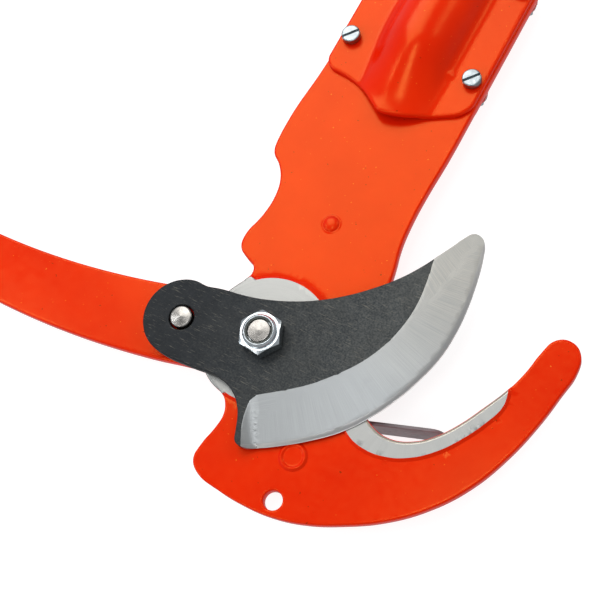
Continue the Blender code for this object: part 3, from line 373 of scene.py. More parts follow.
def distance(points, line, closed=True, along=False):
    """Distances from points to a polyline and, if asked, how far along it the nearest place is."""
    spots = as_array(line)
    starts = spots if closed else spots[:-1]
    ends = np.roll(spots, -1, axis=0) if closed else spots[1:]
    lengths = np.linalg.norm(ends - starts, axis=1)
    run = np.concatenate([[0.0], np.cumsum(lengths)[:-1]])
    best = np.full(len(points), 1e9)
    place = np.zeros(len(points))
    for start, end, length, before in zip(starts, ends, lengths, run):
        step = end - start
        t = np.clip(((points - start) @ step) / (length**2 + 1e-18), 0.0, 1.0)
        gap = np.linalg.norm(points - (start + t[:, None] * step), axis=1)
        nearer = gap < best
        best[nearer] = gap[nearer]
        place[nearer] = (before + t * length)[nearer]
    return (best, place) if along else best


# ---------------------------------------------------------------- shapes

def new_object(name, shape, materials):
    """An object from an editable mesh, which this frees."""
    mesh = bpy.data.meshes.new(name)
    shape.to_mesh(mesh)
    shape.free()
    made = bpy.data.objects.new(name, mesh)
    bpy.context.scene.collection.objects.link(made)
    for material in materials:
        mesh.materials.append(material)
    return made


def smooth(obj, angle=32.0):
    obj.data.shade_smooth()
    obj.data.set_sharp_from_angle(angle=math.radians(angle))
    return obj


def freeze(obj):
    """Replaces the object's mesh by its evaluated one."""
    bpy.context.view_layer.update()
    graph = bpy.context.evaluated_depsgraph_get()
    mesh = bpy.data.meshes.new_from_object(obj.evaluated_get(graph))
    obj.modifiers.clear()
    obj.data = mesh
    return obj


def relief(
    name,
    loops,
    low,
    top,
    edge,
    choose,
    materials,
    lines=(),
    grain=None,
    grid=3.0 * MM,
    low_edge=None,
    under=None,
    wall=None,
):
    """A plate within loops whose front is a height function, and its back too if under is given.
    edge gives the rounding radius at each point of the rim, choose gives each front face's
    material and the walls' too unless wall does, and lines are drawn as edges."""
    outer = max(loops, key=lambda loop: abs(signed_area(loop)))
    ordered = []
    for loop in loops:
        wanted = 1 if loop is outer else -1
        ordered.append(loop if signed_area(loop) * wanted > 0 else loop[::-1])

    def surface(extra_lines, spacing, radius):
        spots, edges = [], []

        def draw(line, closed):
            first = len(spots)
            spots.extend(line)
            edges.extend((first + i, first + i + 1) for i in range(len(line) - 1))
            if closed:
                edges.append((len(spots) - 1, first))

        for loop in ordered:
            draw(loop, True)
        for share in (0.12, 0.35, 0.7, 1.05, 1.7):
            for loop in ordered:
                draw(offset(loop, radius * share), True)
        for line, closed in extra_lines:
            draw(line, closed)
        xs = [p.x for p in outer]
        ys = [p.y for p in outer]
        across = np.arange(min(xs), max(xs), spacing)
        up = np.arange(min(ys), max(ys), spacing * 0.87)
        lattice = np.array([(x + (j % 2) * spacing / 2, y) for j, y in enumerate(up) for x in across])
        lattice = lattice[inside(lattice, ordered)]
        clear = np.ones(len(lattice), bool)
        for loop in ordered:
            clear &= distance(lattice, loop) > spacing * 0.6 + radius
        spots.extend(Vector(p) for p in lattice[clear])
        verts, _, faces, _, _, _ = delaunay_2d_cdt(spots, edges, [], 0, 1e-8)
        flat = as_array(verts)
        middles = np.array([flat[list(f)].mean(axis=0) for f in faces])
        keep = inside(middles, ordered)
        return flat, [f for f, good in zip(faces, keep) if good], middles[keep]

    def shaped(flat, height, radius, sign):
        gap = np.min([distance(flat, loop) for loop in ordered], axis=0)
        gap = np.minimum(gap, radius)
        gap[gap < 2e-6] = 0.0
        drop = radius - np.sqrt(np.maximum(radius**2 - (radius - gap) ** 2, 0.0))
        return height - sign * drop

    shape = bmesh.new()
    layer = shape.loops.layers.uv.new("grain")
    widest = float(max(edge(as_array(loop)).max() for loop in ordered))
    flat, faces, middles = surface(lines, grid, widest)
    heights = shaped(flat, top(flat), edge(flat), 1)
    picks = choose(middles)
    marks = grain(flat) if grain is not None else np.zeros((len(flat), 2))
    verts = [shape.verts.new((p[0], p[1], h)) for p, h in zip(flat, heights)]
    for face, pick in zip(faces, picks):
        made = shape.faces.new([verts[i] for i in face])
        made.material_index = int(pick)
        for corner, i in zip(made.loops, face):
            corner[layer].uv = marks[i]
    low_radius = low_edge or widest
    flat, faces, _ = surface((), grid * (1.3 if under else 3.0), low_radius)
    under = under or constant(low)
    heights = shaped(flat, under(flat), low_radius, -1)
    verts = [shape.verts.new((p[0], p[1], h)) for p, h in zip(flat, heights)]
    for face in faces:
        shape.faces.new([verts[i] for i in reversed(face)])
    for loop in ordered:
        spots = as_array(loop)
        high = top(spots) - edge(spots)
        base = under(spots) + low_radius
        upper = [shape.verts.new((p.x, p.y, h)) for p, h in zip(loop, high)]
        lower = [shape.verts.new((p.x, p.y, h)) for p, h in zip(loop, base)]
        size = len(loop)
        walls = choose(spots) if wall is None else constant(wall)(spots)
        for i in range(size):
            j = (i + 1) % size
            made = shape.faces.new((lower[i], lower[j], upper[j], upper[i]))
            made.material_index = int(walls[i])
    bmesh.ops.remove_doubles(shape, verts=shape.verts, dist=1.5e-6)
    bmesh.ops.dissolve_degenerate(shape, edges=shape.edges, dist=1e-7)
    bmesh.ops.recalc_face_normals(shape, faces=shape.faces)
    return smooth(new_object(name, shape, materials))


def lathe(name, profile, place, material, steps=96, angle=32.0):
    """A turned piece; profile is (radius, height) in metres. It may close on itself as a ring."""
    shape = bmesh.new()
    rings = []
    for radius, height in profile:
        if radius < 1e-7:
            rings.append([shape.verts.new((place[0], place[1], height))])
            continue
        ring = []
        for i in range(steps):
            turn = math.tau * i / steps
            x, y = place[0] + radius * math.cos(turn), place[1] + radius * math.sin(turn)
            ring.append(shape.verts.new((x, y, height)))
        rings.append(ring)
    pairs = list(zip(rings, rings[1:]))
    if len(rings[0]) > 1:
        pairs.append((rings[-1], rings[0]))
    for first, second in pairs:
        for i in range(steps):
            j = (i + 1) % steps
            if len(first) == 1:
                shape.faces.new((first[0], second[i], second[j]))
            elif len(second) == 1:
                shape.faces.new((first[i], second[0], first[j]))
            else:
                shape.faces.new((first[i], second[i], second[j], first[j]))
    bmesh.ops.recalc_face_normals(shape, faces=shape.faces)
    return smooth(new_object(name, shape, [material]), angle)


def in_mm(base, *points):
    """A profile in metres from (radius, height over the base) in millimetres."""
    return [(radius * MM, base + height * MM) for radius, height in points]


def rounded(points, radius, steps=4):
    """A profile with its corners rounded, apart from its ends, where there is room."""
    done = [points[0]]
    for before, here, after in zip(points, points[1:], points[2:]):
        here = Vector(here)
        to_back, to_on = Vector(before) - here, Vector(after) - here
        size = min(radius, to_back.length * 0.45, to_on.length * 0.45)
        start, end = here + to_back.normalized() * size, here + to_on.normalized() * size
        for k in range(steps + 1):
            t = k / steps
            done.append(tuple((1 - t) ** 2 * start + 2 * t * (1 - t) * here + t**2 * end))
    return done + [points[-1]]


def combined(target, tool, operation):
    """The target after a Boolean operation with the tool, which is used up."""
    step = target.modifiers.new("cut", "BOOLEAN")
    step.object = tool
    step.operation = operation
    step.solver = "EXACT"
    freeze(target)
    bpy.data.objects.remove(tool, do_unlink=True)
    return target


def bevelled(obj, width, segments=3, angle=30.0):
    step = obj.modifiers.new("edge", "BEVEL")
    step.width = width
    step.segments = segments
    step.limit_method = "ANGLE"
    step.angle_limit = math.radians(angle)
    step.use_clamp_overlap = False
    step.harden_normals = False
    freeze(obj)
    return smooth(obj, 40.0)


def copy_of(node, material, width=0.2 * MM, angle=30.0):
    """The CAD node with its edges softened."""
    shape = welded(node)
    bmesh.ops.dissolve_limit(shape, angle_limit=math.radians(1.0), verts=shape.verts, edges=shape.edges)
    made = new_object(node + "_look", shape, [material])
    if width > 0:
        bevelled(made, width, 2, angle)
    return smooth(made, 40.0)


def dress(obj, body, node):
    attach(obj, body)
    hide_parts(node)


# ---------------------------------------------------------------- hook plate

PAD_RADIUS = 27.5 * MM
SHOULDER_REACH = 2.3 * MM  # the ground face goes this much further out on the left
SHOULDER_FROM, SHOULDER_TO = 129.0, 261.0  # degrees round the pivot
EASE = 4.0  # degrees over which a width changes
SLOPE = 1.35 * MM
MORE_SLOPE = 0.95 * MM  # on the right of the pivot, above it
GROOVE = 0.8 * MM
GROOVE_DEPTH = 0.16 * MM
CHAMFER_WIDTH = 1.35 * MM  # along the edge that the blade passes
CHAMFER_FALL = 0.62
PAINTED_EDGE = 0.32 * MM


def turned_to(points):
    return np.degrees(np.arctan2(points[:, 1], points[:, 0])) % 360.0


def pad_radius(points):
    turn = turned_to(points)
    share = np.clip(np.minimum(turn - SHOULDER_FROM, SHOULDER_TO - turn) / EASE, 0.0, 1.0)
    return PAD_RADIUS + SHOULDER_REACH * share


def slope_width(turn):
    return SLOPE + MORE_SLOPE * np.clip((90.0 - turn) / EASE, 0.0, 1.0)


def pad_rings():
    """The edges of the pad, of the slope round it and of the groove beyond."""
    rings = []
    for share, beyond in ((0.0, 0.0), (0.5, 0.0), (0.95, 0.0), (1.0, 0.0), (1.0, 0.25), (1.0, 1.0)):
        ring = []
        for turn in np.linspace(0, math.tau, 260)[:-1]:
            radius = PAD_RADIUS + share * slope_width(np.degrees(turn)) + beyond * GROOVE
            ring.append(Vector((radius * math.cos(turn), radius * math.sin(turn))))
        rings.append((ring, True))
    return rings


def make_plate():
    loops = [refined(loop, 0.8 * MM) for loop in flat_loops("hook_plate", PLATE_LOW)]
    raised_faces = flat_loops("hook_plate", PAD_Z)
    crescent = max(raised_faces, key=lambda loop: sum(p.length for p in loop) / len(loop))
    crescent = refined(crescent, 0.7 * MM)
    if signed_area(crescent) < 0:
        crescent.reverse()
    throat_gap = distance(as_array(crescent), loops[0])
    throat = ordered_run(crescent, throat_gap < 0.15 * MM)

    def fall(gap):
        t = np.clip(gap / SLOPE, 0.0, 1.0)
        return t * t * (3 - 2 * t)

    def top(points):
        width = slope_width(turned_to(points))
        out = np.hypot(points[:, 0], points[:, 1]) - pad_radius(points)
        pad = 1.0 - np.clip(out / width, 0.0, 1.0)
        groove = np.clip(out / width, 0.0, 1.0) * np.clip((width + GROOVE - out) / GROOVE, 0.0, 1.0)
        inner = inside(points, [crescent])
        raised = np.where(inner, 1.0, 1.0 - fall(distance(points, crescent)))
        height = FRONT_Z + PAD_HEIGHT * np.maximum(pad, raised)
        to_throat = distance(points, throat, closed=False)
        chamfer = np.maximum(CHAMFER_WIDTH - to_throat, 0.0) * CHAMFER_FALL
        groove = np.where(raised > 0.0, 0.0, GROOVE_DEPTH * groove)
        return height - groove - np.where(raised > 0.5, chamfer, 0.0)

    def edge(points):
        near = distance(points, throat, closed=False)
        share = np.clip(near / (2.0 * MM), 0.0, 1.0)
        return (0.35 + 0.5 * share) * MM

    def choose(points):
        radius = np.hypot(points[:, 0], points[:, 1])
        inner = inside(points, [crescent])
        to_throat = distance(points, throat, closed=False)
        pick = np.zeros(len(points), int)
        pick[inner | (radius < pad_radius(points))] = 1
        pick[inner & (to_throat < CHAMFER_WIDTH)] = 2
        pick[inner & (to_throat < PAINTED_EDGE)] = 0
        return pick

    def grain(points):
        radius = np.hypot(points[:, 0], points[:, 1])
        _, along = distance(points, throat, closed=False, along=True)
        on_pad = radius < 34 * MM
        u = np.where(on_pad, radius, along) / MM
        v = np.where(on_pad, np.arctan2(points[:, 1], points[:, 0]) * 20.0, radius / MM)
        return np.stack([u, v], axis=1)

    lines = pad_rings()
    lines += [(offset(crescent, -SLOPE * share), True) for share in (0.0, 1.0, 0.5)]
    lines += [(open_offset(throat, gap), False) for gap in (PAINTED_EDGE, CHAMFER_WIDTH)]
    lines = clip_lines(lines, loops)
    finishes = [PAINT, PAD, CHAMFER_STEEL_AND_PAINTED_REFLECTION]
    plate = relief("hook_plate_look", loops, PLATE_LOW, top, edge, choose, finishes, lines, grain, wall=0)
    dress(plate, "head", "hook_plate")


def ordered_run(loop, wanted):
    """The points of a loop where wanted holds, as one run."""
    count = len(loop)
    start = next(i for i in range(count) if wanted[i] and not wanted[i - 1])
    run = []
    for k in range(count):
        i = (start + k) % count
        if not wanted[i]:
            break
        run.append(loop[i])
    return run


def open_offset(line, gap):
    """An open line moved to its left by a gap."""
    moved = []
    for i, spot in enumerate(line):
        before = line[max(0, i - 1)]
        after = line[min(len(line) - 1, i + 1)]
        way = (after - before).normalized()
        moved.append(spot + Vector((-way.y, way.x)) * gap)
    return moved


def clip_lines(lines, loops):
    """The parts of lines that lie inside the loops, as open runs."""
    runs = []
    for line, closed in lines:
        good = inside(as_array(line), loops)
        found = [[]]
        for i in list(range(len(line))) + ([0] if closed else []):
            if good[i]:
                found[-1].append(line[i])
            else:
                found.append([])
        runs += [(run, False) for run in found if len(run) > 1]
    return runs


# ---------------------------------------------------------------- blade

# At the heel the ground bevel runs out into the dark face, between these two lines (millimetres)
HEEL = (9.78, -23.22)
HEEL_BORDER = (HEEL, (8.55, -26.1), (8.87, -29.7), (9.8, -34.2), (11.0, -37.6), (12.7, -40.9), (14.9, -44.9))
HEEL_RIDGE = (HEEL, (11.2, -26.1), (12.8, -29.2), (14.7, -32.7), (16.6, -36.1), (18.6, -39.6), (20.9, -43.6))
DOWN = Vector((0.0, 0.0, -1.0))


def through(points, count):
    """A Catmull-Rom curve through points, with count spans."""
    spots = [Vector(p) * MM for p in points]
    spots = [2 * spots[0] - spots[1]] + spots + [2 * spots[-1] - spots[-2]]
    line = []
    for i in range(count + 1):
        place = min(i / count * (len(points) - 1), len(points) - 1 - 1e-9)
        k = int(place)
        t = place - k
        a, b, c, d = spots[k : k + 4]
        bend = (2 * a - 5 * b + 4 * c - d) * t**2 + (3 * b - a - 3 * c + d) * t**3
        line.append(0.5 * (2 * b + (c - a) * t + bend))
    return line


def front_hit(tree, x, y):
    """Where the CAD surface seen from the front lies, and its normal."""
    return tree.ray_cast(Vector((x, y, 1.0)), DOWN)[:2]


def make_blade():
    loops = [refined(loop, 0.7 * MM) for loop in flat_loops("blade", BLADE_LOW)]
    border, ridge = through(HEEL_BORDER, 48), through(HEEL_RIDGE, 48)
    shape = welded("blade")
    tree = BVHTree.FromBMesh(shape)
    bends = []
    for line in shape.edges:
        if len(line.link_faces) != 2:
            continue
        a, b = line.link_faces
        if a.normal.z > 0.5 and b.normal.z > 0.5 and a.normal.angle(b.normal) > math.radians(3.0):
            bends.append([v.co.xy.copy() for v in line.verts])
    shape.free()
    outline = loops[0] if signed_area(loops[0]) > 0 else loops[0][::-1]
    rim = as_array(outline)
    nudge = as_array(offset(outline, 0.12 * MM)) - rim

    def top(points):
        heights = np.full(len(points), BLADE_TOP)
        gaps = distance(points, outline)
        for i, (x, y) in enumerate(points):
            if gaps[i] < 0.1 * MM:
                k = int(np.argmin((rim[:, 0] - x) ** 2 + (rim[:, 1] - y) ** 2))
                x, y = x + nudge[k, 0], y + nudge[k, 1]
            hit, _ = front_hit(tree, x, y)
            if hit is not None and hit.z > BLADE_LOW + 0.1 * MM:
                heights[i] = hit.z
        return run_out(points, heights)

    drops = []
    for spot in ridge:
        hit, _ = front_hit(tree, spot.x + 0.1 * MM, spot.y + 0.05 * MM)
        drops.append(BLADE_TOP - hit.z if hit is not None and hit.z > BLADE_LOW else drops[-1])
    ridge_length = length_of(ridge)

    def run_out(points, heights):
        """Hollows the face between the heel's two lines, and keeps it flat to the left of them."""
        near = inside(points, [border + ridge[::-1]])
        from_border = distance(points, border, closed=False)
        to_ridge, along = distance(points, ridge, closed=False, along=True)
        share = from_border / (from_border + to_ridge + 1e-9)
        drop = np.interp(along / ridge_length, np.linspace(0.0, 1.0, len(drops)), drops)
        hollow = BLADE_TOP - drop * (1.0 - (1.0 - share) ** 2)
        before = (points[:, 0] < 21.5 * MM) & (points[:, 1] < -23.0 * MM) & ~near
        left = before & (from_border < to_ridge)
        return np.where(near, hollow, np.where(left, BLADE_TOP, heights))

    def edge(points):
        flat = top(points) > BLADE_TOP - 0.05 * MM
        return np.where(flat, 0.5, 0.06) * MM

    def choose(points):
        pick = np.zeros(len(points), int)
        pick[top(points) < BLADE_TOP - 0.02 * MM] = 1
        pick[micro(points)] = 2
        return pick

    def micro(points):
        """True on the steep, narrow bevel of the cutting edge."""
        found = np.zeros(len(points), bool)
        for i, (x, y) in enumerate(points):
            _, normal = front_hit(tree, x, y)
            found[i] = normal is not None and 0.3 < normal.z < 0.972
        return found

    def grain(points):
        gap, along = distance(points, outline, along=True)
        return np.stack([along / MM, gap / MM], axis=1)

    lines = []
    for a, b in bends:
        at_heel = max(a.x, b.x) < 15.5 * MM and max(a.y, b.y) < -22.0 * MM
        if not at_heel:
            lines.append(([a, b], False))
    for share in (0.0, 0.12, 0.3, 0.5, 0.75, 1.0):
        between = [a.lerp(b, share) for a, b in zip(border, ridge)]
        lines += clip_lines([(between[1:], False)], loops[:1])
    finishes = [DARK, BEVEL, MICRO]
    blade = relief(
        "blade_look", loops, BLADE_LOW, top, edge, choose, finishes, lines, grain, 2.5 * MM, 0.1 * MM
    )
    dress(blade, "lever", "blade")


# ---------------------------------------------------------------- flat pieces

def make_flat(node, body, material, radius):
    """A plate of even thickness with rounded edges."""
    low, high = (corner.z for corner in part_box(node))
    loops = [refined(loop, 0.8 * MM) for loop in flat_loops(node, high)]
    piece = relief(
        node + "_look", loops, low, constant(high), constant(radius), constant(0), [material], grid=6.0 * MM
    )
    dress(piece, body, node)


# ---------------------------------------------------------------- pole socket

SHEET = 2.5 * MM
BORE = 15.3 * MM
SEAT = 0.22 * MM  # how much closer the sheets lie to the plate than in the model
VALLEY = 6.0 * MM + SHEET
NOSE_RISE = 4.4 * MM
NOSE_LENGTH = 39.0 * MM  # over which the bulge reaches its full height
RIM_ROUND = 12.0 * MM
RIM_CORNER = 6.0 * MM
RIM_LEFT_RISE, RIM_LEFT_RUN = 12.8 * MM, 13.0 * MM
DIMPLE = np.array((15.2, 139.6)) * MM
DIMPLE_RADIUS, DIMPLE_HEIGHT = 1.25 * MM, 0.7 * MM
SHELL_STEPS = 60  # along each side of the outline


def sheet_height(reach, rise, out):
    """Height above the flange's inner side at distances from the pole's axis; out is 0 for the
    sheet's inner side and its thickness for the outer one."""
    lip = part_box("front_socket_shell")[0].z - (PLATE_LOW + FRONT_Z) / 2
    chord = math.sqrt(BORE**2 - lip**2)
    radius = (chord**2 + rise**2) / (2 * rise)
    middle = rise - radius
    foot = np.sqrt((radius + VALLEY) ** 2 - (VALLEY - middle) ** 2)
    turn = (radius + out) * foot / (radius + VALLEY)
    crown = middle + np.sqrt(np.maximum((radius + out) ** 2 - reach**2, 0.0))
    hollow = VALLEY - np.sqrt(np.maximum((VALLEY - out) ** 2 - (foot - reach) ** 2, 0.0))
    return np.where(reach < turn, crown, np.where(reach < foot, hollow, out))


def rim_rise(offset_x, half):
    """How far the shell's lower rim lies above its lowest point, across the pole."""
    reach = min(abs(offset_x), half)
    if offset_x < 0:
        rise = RIM_LEFT_RISE * (1.0 - math.exp(-((reach / RIM_LEFT_RUN) ** 1.5)))
    elif reach < RIM_ROUND:
        rise = 0.25 * reach**2 / RIM_ROUND
    else:
        rise = 0.5 * (reach - RIM_ROUND / 2)
    past_corner = max(reach - half + RIM_CORNER, 0.0)
    return rise + RIM_CORNER - math.sqrt(max(RIM_CORNER**2 - past_corner**2, 0.0))


def shell_outline(middle, half, nose_y, end_y):
    """The shell seen along the Z axis, anticlockwise from the left of its lower rim."""
    outline = []
    for turn in np.linspace(-math.pi / 2, math.pi / 2, 2 * SHELL_STEPS + 1):
        offset_x = half * math.sin(turn)
        outline.append(Vector((middle + offset_x, nose_y + rim_rise(offset_x, half))))
    right = np.linspace(outline[-1].y, end_y - MM, SHELL_STEPS)[1:]
    top = np.linspace(half - MM, MM - half, SHELL_STEPS)
    left = np.linspace(end_y - MM, outline[0].y, SHELL_STEPS)[:-1]
    outline += [Vector((middle + half, y)) for y in right]
    outline += [Vector((middle + x, end_y)) for x in top]
    return outline + [Vector((middle - half, y)) for y in left]


def make_shell(node, side):
    """A pressed half shell; side is 1 in front of the plate and -1 behind it."""
    low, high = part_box(node)
    half = (high.x - low.x) / 2
    middle = (high.x + low.x) / 2
    nose_y, end_y = low.y, high.y
    lip = low.z if side > 0 else high.z
    full = high.z - low.z - SHEET

    def rise(points):
        """The bulge's height over the flange, growing from the rim up the pole."""
        rim = nose_y + np.array([rim_rise(x - middle, half) for x in points[:, 0]])
        share = (points[:, 1] - rim) / (end_y - rim)
        opening = np.clip(share * (end_y - nose_y) / NOSE_LENGTH, 0.0, 1.0)
        opening = opening * opening * (3.0 - 2.0 * opening)
        return NOSE_RISE + (full - NOSE_RISE) * opening

    def reach(points, raised):
        """Distance from the axis, drawn in on the right, where the bulge is wider."""
        away = points[:, 0] - middle
        wide = 1.0 - 0.06 - 0.16 * (full - raised) / (full - NOSE_RISE)
        return np.where(away > 0.0, away * wide, -away)

    def top(points):
        raised = rise(points)
        height = sheet_height(reach(points, raised), raised, SHEET)
        if side > 0:
            away = ((points - DIMPLE) ** 2).sum(axis=1)
            height = height + DIMPLE_HEIGHT * np.exp(-away / DIMPLE_RADIUS**2)
        return height - SEAT

    def under(points):
        raised = rise(points)
        return sheet_height(reach(points, raised), raised, 0.0) - SEAT

    shell = relief(
        node + "_look",
        [shell_outline(middle, half, nose_y, end_y)],
        0.0,
        top,
        constant(1.15 * MM),
        constant(0),
        [PAINT],
        grid=1.25 * MM,
        low_edge=0.4 * MM,
        under=under,
    )
    shell.data.transform(Matrix.Translation((0.0, 0.0, lip)) @ Matrix.Diagonal((1.0, 1.0, side, 1.0)))
    if side < 0:
        shell.data.flip_normals()
    dress(shell, "head", node)


# ---------------------------------------------------------------- fasteners

def make_screws():
    """Slotted cheese-head screws."""
    turn = Matrix.Rotation(math.radians(47.0), 4, "Z")
    slot = Matrix.Diagonal((12.0 * MM, 1.3 * MM, 3.4 * MM, 1.0))
    shank = 2.5 * MM
    for number in range(1, 5):
        node = f"socket_screw_{number}"
        low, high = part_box(node)
        spot = centre(node)
        radius = (high.x - low.x) / 2
        head_low = high.z - 3.3 * MM
        profile = [(0.0, high.z), (radius, high.z), (radius, head_low)]
        profile += [(shank, head_low), (shank, low.z), (0.0, low.z)]
        screw = lathe(node + "_look", rounded(profile, 0.7 * MM), spot, SCREW)
        cutter = bmesh.new()
        place = Matrix.Translation((spot.x, spot.y, high.z))
        bmesh.ops.create_cube(cutter, size=1.0, matrix=place @ turn @ slot)
        combined(screw, new_object("slot", cutter, [SCREW]), "DIFFERENCE")
        smooth(screw, 35.0)
        dress(screw, "head", node)


def collared_nut(node, turn, flats, collar, rise, bore, material):
    """A hexagon with turned chamfers and a rounded collar on top."""
    low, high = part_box(node)
    spot = centre(node)
    top = high.z - rise
    place = Matrix.Translation((spot.x, spot.y, (top + low.z) / 2))
    shape = bmesh.new()
    bmesh.ops.create_cone(
        shape,
        cap_ends=True,
        segments=6,
        radius1=flats / math.sqrt(3),
        radius2=flats / math.sqrt(3),
        depth=top - low.z,
        matrix=place @ Matrix.Rotation(math.radians(turn), 4, "Z"),
    )
    nut = bevelled(new_object(node + "_look", shape, [material]), 0.35 * MM, 4)
    inner, outer = flats / 2 - 0.2 * MM, flats / 2 + 3.2 * MM
    profile = [(0.0, top + 3.0 * MM), (inner, top + 3.0 * MM), (inner, top - 0.02 * MM)]
    profile += [(outer, top - 2.21 * MM), (outer, low.z - MM), (0.0, low.z - MM)]
    combined(nut, lathe("chamfer", profile, spot, material, 128), "INTERSECT")
    ring = [(bore, top - 0.4 * MM), (bore, high.z - 0.35 * MM), (bore + 0.3 * MM, high.z)]
    ring += [(collar - 0.9 * MM, high.z), (collar, high.z - 0.9 * MM)]
    ring += [(collar + 0.05 * MM, top + 0.2 * MM), (collar + 0.5 * MM, top - 0.4 * MM)]
    lift = lathe("collar", rounded(ring, 0.5 * MM), spot, material, 128)
    nut.data.materials.clear()
    nut.data.materials.append(material)
    join([nut, lift])
    return smooth(nut, 26.0)


def join(objects):
    """Joins the objects' meshes into the first object."""
    shape = bmesh.new()
    for obj in objects:
        shape.from_mesh(obj.data)
    shape.to_mesh(objects[0].data)
    shape.free()
    for obj in objects[1:]:
        bpy.data.objects.remove(obj, do_unlink=True)


MARK_PITCH = 0.16 * MM
MARK_DEPTH = 0.011 * MM


def grooved(radius, height, cone):
    """A turned end face: a shallow cone with fine tool marks, from the middle to the rim."""
    count = int(radius / MARK_PITCH)
    points = []
    for k in range(count):
        share = k / count
        points.append((radius * share, height + cone * (1 - share) + MARK_DEPTH * (k % 2)))
    return points


def make_pivot():
    low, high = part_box("pivot_nut")
    spot = centre("pivot_nut")
    nut = collared_nut("pivot_nut", 23.6, 17.0 * MM, 7.2 * MM, 2.0 * MM, 5.8 * MM, ZINC)
    dress(nut, "lever", "pivot_nut")
    profile = in_mm(high.z, (5.2, -0.6), (5.75, -0.5)) + in_mm(low.z, (5.75, 2.0), (5.2, 2.0))
    dress(lathe("nut_insert_look", profile, spot, LOCK), "lever", "nut_insert")
    low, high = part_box("pivot_bolt")
    profile = grooved(4.6 * MM, high.z - 0.35 * MM, 0.3 * MM)
    profile += in_mm(high.z, (4.7, -0.42), (4.97, -0.75), (5.0, -1.2))
    profile += in_mm(low.z, (5.0, 5.0), (0.0, 5.0))
    shank = lathe("shank", profile, spot, TURNED, 112, 60.0)
    head = copy_of("pivot_bolt", TURNED, 0.0)
    cut_above(head, LEVER_LOW - 0.4 * MM)
    bevelled(head, 0.35 * MM, 3)
    join([shank, head])
    shank.name = "pivot_bolt_look"
    dress(shank, "lever", "pivot_bolt")
    low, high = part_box("drive_pin")
    profile = grooved(4.2 * MM, high.z - 0.5 * MM, 0.5 * MM)
    profile += in_mm(high.z, (4.55, -0.62), (4.75, -1.0))
    profile += in_mm(low.z, (4.75, 2.2), (6.55, 2.2), (6.05, 0.9), (3.75, 0.2), (0.0, 0.0))
    pin = lathe("drive_pin_look", profile, centre("drive_pin"), TURNED, 112, 60.0)
    dress(pin, "lever", "drive_pin")


def cut_above(obj, height):
    """Removes what lies above a height and closes the cut."""
    shape = bmesh.new()
    shape.from_mesh(obj.data)
    parts = shape.verts[:] + shape.edges[:] + shape.faces[:]
    plane = {"plane_co": (0, 0, height), "plane_no": (0, 0, 1)}
    cut = bmesh.ops.bisect_plane(shape, geom=parts, clear_outer=True, **plane)
    rim = [e for e in cut["geom_cut"] if isinstance(e, bmesh.types.BMEdge)]
    bmesh.ops.contextual_create(shape, geom=rim)
    shape.to_mesh(obj.data)
    shape.free()


def make_rivets():
    """The small domed rivet, in a dent with a raised ring, and the large one with a sunk middle."""
    low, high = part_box("lug_rivet")
    profile = in_mm(high.z, (0.0, 0.0), (1.0, -0.03), (2.0, -0.16), (2.7, -0.4))
    profile += in_mm(FRONT_Z, (3.3, 0.35), (3.5, 0.12), (3.6, -0.1), (3.8, -0.1))
    profile += in_mm(FRONT_Z, (4.0, 0.12), (4.4, 0.06), (4.9, -0.1), (2.5, -0.3))
    profile += in_mm(low.z, (2.5, 1.8), (4.0, 1.8), (3.4, 0.6), (0.0, 0.0))
    small = lathe("lug_rivet_look", profile, centre("lug_rivet"), PAINT, 72, 50.0)
    dress(small, "head", "lug_rivet")
    low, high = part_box("bracket_rivet")
    profile = in_mm(FRONT_Z, (0.0, 0.3), (3.5, 0.3), (4.0, 0.36), (4.45, 0.8))
    profile += in_mm(high.z, (4.9, -0.1), (5.2, -0.2))
    profile += in_mm(FRONT_Z, (5.7, 0.4), (6.3, -0.1), (4.0, -0.3))
    profile += in_mm(low.z, (4.0, 2.2), (6.0, 2.2), (5.3, 0.7), (4.0, 0.1), (0.0, 0.0))
    profile = rounded(profile, 0.3 * MM, 2)
    large = lathe("bracket_rivet_look", profile, centre("bracket_rivet"), PAINT, 72, 50.0)
    dress(large, "head", "bracket_rivet")


# ---------------------------------------------------------------- spring and pulley

SPRING_TURNS = 14
TURN_STEPS = 28
COIL_RADIUS = 3.0 * MM
WIRE_RADIUS = 0.6 * MM
HOOK_RADIUS = 3.4 * MM
HOOK_STEPS = 40
HOOK_REACH = HOOK_RADIUS + 4.0 * MM  # from the post's middle to the first turn
NECK_REACH = HOOK_RADIUS + 1.6 * MM


def spring_route(length, level):
    """The wire as (along, across, height): a hook, a neck, the coil, a neck and a hook."""
    hook = []
    for step in range(HOOK_STEPS + 1):
        turn = math.radians(30.0 + 300.0 * step / HOOK_STEPS)
        hook.append((HOOK_RADIUS * math.cos(turn), -HOOK_RADIUS * math.sin(turn), level))
    hook.append((NECK_REACH, COIL_RADIUS * 0.75, level))
    coil = []
    steps = SPRING_TURNS * TURN_STEPS
    for step in range(steps + 1):
        turn = math.tau * SPRING_TURNS * step / steps
        along = HOOK_REACH + (length - 2 * HOOK_REACH) * step / steps
        coil.append((along, COIL_RADIUS * math.cos(turn), level + COIL_RADIUS * math.sin(turn)))
    far_hook = [(length - along, across, height) for along, across, height in reversed(hook)]
    return hook + coil + far_hook


